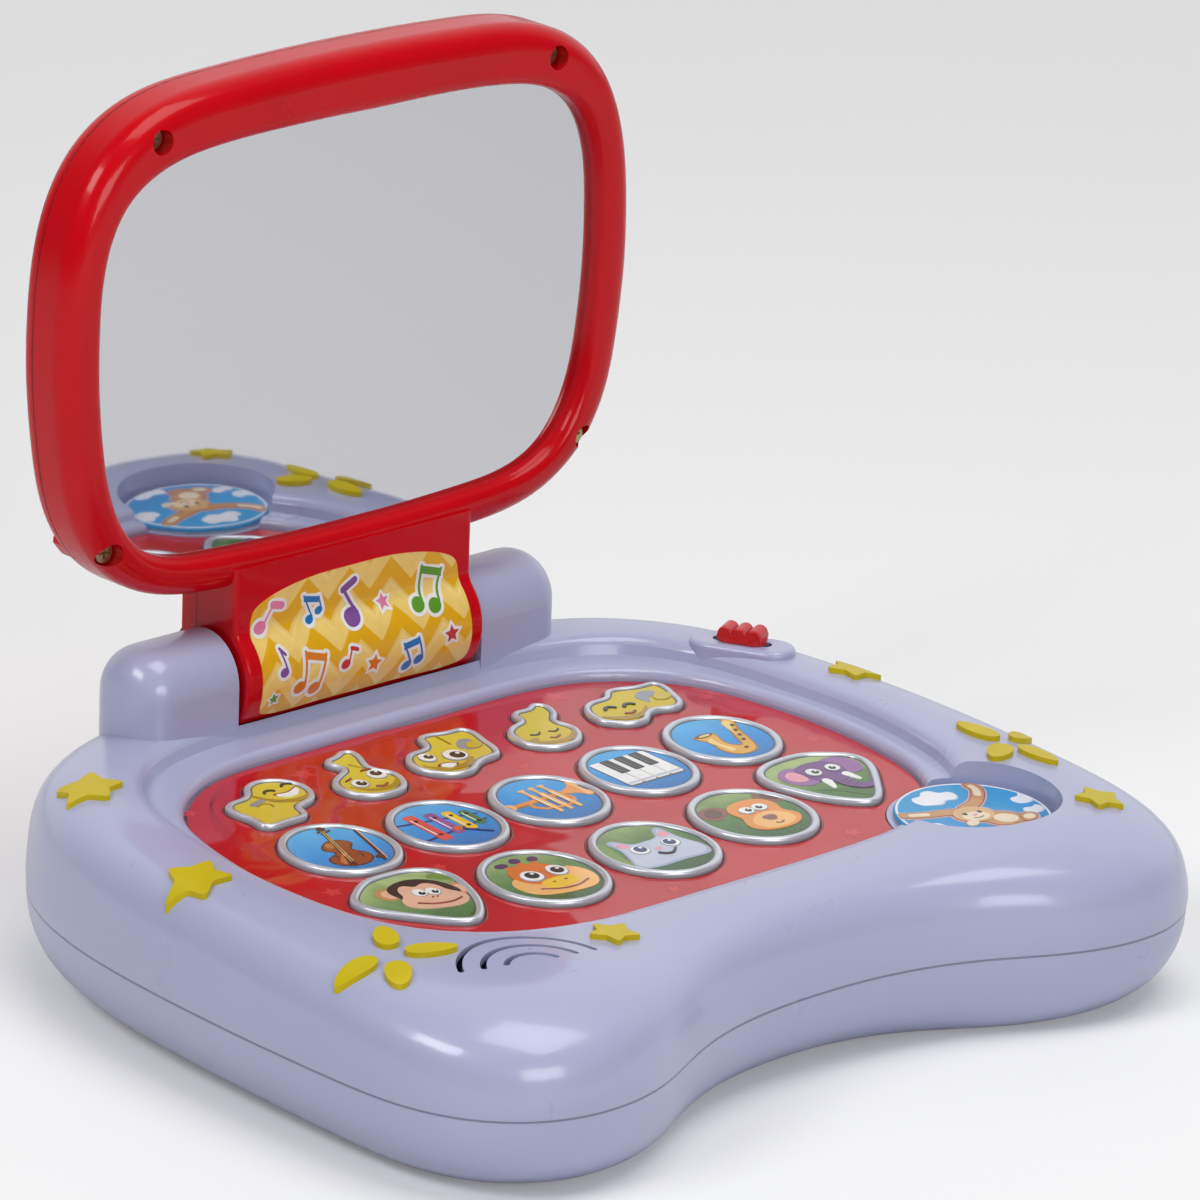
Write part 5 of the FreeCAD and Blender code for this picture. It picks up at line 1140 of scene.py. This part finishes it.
def build_label_icons():
    pink, violet, green = paint(238, 130, 178), paint(132, 78, 160), paint(96, 160, 34)
    blue, red, orange = paint(10, 120, 196), paint(206, 46, 52), paint(232, 130, 24)
    icons = LabelIcons("label_icons", on_label)
    icons.note((-30.2, 70.4), (-28.9, 71), (-26, 75.2), (-23.4, 74.6), 1.7, 2, pink)
    icons.pair([(-14.9, 69.3), (-11.7, 70.9)], [(-13.9, 70), (-10.9, 71.6)],
               [(-16.4, 75.4), (-11.7, 74.4)], 1.1, 1.5, blue, 0.45)
    icons.note((-2.2, 67.6), (-0.1, 68.3), (-3.9, 74.4), (-0.5, 76.2), 2.2, 1.9, violet, 0.9)
    icons.pair([(18.2, 66.6), (23, 65.6)], [(19.8, 67), (24.6, 66)],
               [(21.1, 75.3), (27.4, 73.4)], 1.75, 2, green, 0.7)
    icons.pair([(12.7, 53), (16.4, 53.9)], [(13.9, 53.6), (17.5, 54.5)],
               [(11.3, 59), (16.1, 59.7)], 1.35, 1.7, blue, 0.55)
    icons.note((-7.3, 57.8), (-6.2, 58.3), (-5.1, 61.3), (-3.4, 60.7), 1.25, 1, red, 0.45)
    icons.pair([(-21.6, 54.9), (-16.9, 53.7)], [(-20.1, 55.4), (-15.5, 54.3)],
               [(-19.2, 63.2), (-13.2, 61.6)], 1.65, 1.8, orange, 0.65)
    icons.note((-26.5, 59.7), (-25.5, 60.2), (-26.7, 65.2), (-25.4, 63.7), 1.2, 0.7, violet, 0.5)
    for x, z, radius, turn, material in (
            (8.3, 69.1, 2.1, 96, pink), (26.7, 58.3, 2.4, 92, red),
            (1.9, 56.1, 2.4, 80, orange), (-29.4, 53.6, 1.6, 100, green)):
        icons.icon([star(x, z, radius * 1.5, turn, waist=0.56, soft=0.2)],
                   [star(x, z, radius, turn)], material)
    icons.finish("lid", "label_film")


build_label_icons()


# ------------------------------------------------------------------ stage
def floor_paper():
    """Matt paper that glows to the camera only, more so far from the centre."""
    g = Graph("floor_paper")
    x, y = g.axis("X"), g.axis("Y")
    away = g.math("SQRT", g.add(g.times(x, x), g.times(y, y)))
    glow = g.add(0.16, g.times(g.remap(away, 0.7, 5.0), 0.5))
    seen = g.node("LightPath").outputs["Is Camera Ray"]
    return g.set(Base_Color=g.mix(g.noise(4), [0.77, 0.77, 0.775], [0.79, 0.79, 0.79]),
                 Roughness=0.85, Normal=g.bump(g.noise(300), depth=0.00002),
                 Specular_IOR_Level=0.15, Emission_Color=(1.0, 1.0, 1.0),
                 Emission_Strength=g.times(seen, glow))


def build_floor():
    half, z = 9.0, -0.0002
    mesh = bpy.data.meshes.new("floor_sheet")
    bm = bmesh.new()
    corners = (-half, -half), (half, -half), (half, half), (-half, half)
    bm.faces.new([bm.verts.new((x, y, z)) for x, y in corners])
    bmesh.ops.recalc_face_normals(bm, faces=bm.faces[:])
    bm.to_mesh(mesh)
    bm.free()
    for polygon in mesh.polygons:
        polygon.use_smooth = True
    floor = bpy.data.objects.new("floor", mesh)
    bpy.context.scene.collection.objects.link(floor)
    mesh.materials.append(floor_paper())


def build_world():
    """Dim surroundings, brighter towards +X +Y. The camera sees an even backdrop."""
    world = bpy.data.worlds.new("studio")
    bpy.context.scene.world = world
    world.use_nodes = True
    nodes, link = world.node_tree.nodes, world.node_tree.links.new
    facing = nodes.new("ShaderNodeVectorMath")
    facing.operation = "DOT_PRODUCT"
    facing.inputs[1].default_value = (0.69, 0.72, 0.0)
    link(nodes.new("ShaderNodeTexCoord").outputs["Generated"], facing.inputs[0])
    ramp = nodes.new("ShaderNodeMapRange")
    ramp.interpolation_type = "SMOOTHSTEP"
    # facing from and to, strength from and to
    for i, value in enumerate((0.15, 0.75, 0.11, 0.85)):
        ramp.inputs[i + 1].default_value = value
    link(facing.outputs["Value"], ramp.inputs[0])
    pick = nodes.new("ShaderNodeMix")
    pick.inputs[3].default_value = 0.86     # strength seen by the camera
    link(nodes.new("ShaderNodeLightPath").outputs["Is Camera Ray"], pick.inputs[0])
    link(ramp.outputs[0], pick.inputs[2])
    background = nodes["Background"]
    link(pick.outputs[0], background.inputs["Strength"])
    background.inputs["Color"].default_value = (0.97, 0.98, 1.0, 1)


def softbox(name, place, aim_z, size, power):
    """Rectangular lamp aimed at a point on the Z axis."""
    light = bpy.data.lights.new(name, "AREA")
    light.shape = "RECTANGLE"
    light.size, light.size_y = size
    light.energy = power
    light.color = (1, 1, 1)
    lamp = bpy.data.objects.new(name, light)
    lamp.location = place
    aim = Vector((0, 0, aim_z)) - Vector(place)
    lamp.rotation_euler = aim.to_track_quat("-Z", "Y").to_euler()
    bpy.context.scene.collection.objects.link(lamp)


def build_camera():
    # rows: world x, y, z. Columns: right, up, backwards, place
    camera_data = bpy.data.cameras.new("camera")
    camera = bpy.data.objects.new("camera", camera_data)
    bpy.context.scene.collection.objects.link(camera)
    camera.matrix_world = Matrix(((0.73361, 0.19812, -0.65005, -1.33497),
                                  (-0.6787, 0.262, -0.68609, -1.42378),
                                  (0.03438, 0.94451, 0.32667, 0.76542),
                                  (0, 0, 0, 1)))
    camera_data.sensor_width = 36.0
    camera_data.lens = 266.0166
    camera_data.clip_end = 50.0
    bpy.context.scene.camera = camera


build_floor()
build_world()
softbox("key_softbox", place=(-1.5, 0.1, 1.5), aim_z=0.03, size=(0.9, 0.6), power=14)
softbox("top_softbox", place=(0.2, -0.4, 1.9), aim_z=0.05, size=(1.2, 1.2), power=17)
softbox("fill_softbox", place=(-0.5, -1.9, 0.75), aim_z=0.05, size=(1.1, 0.7), power=12)
build_camera()
bpy.context.scene.view_settings.view_transform = "Standard"
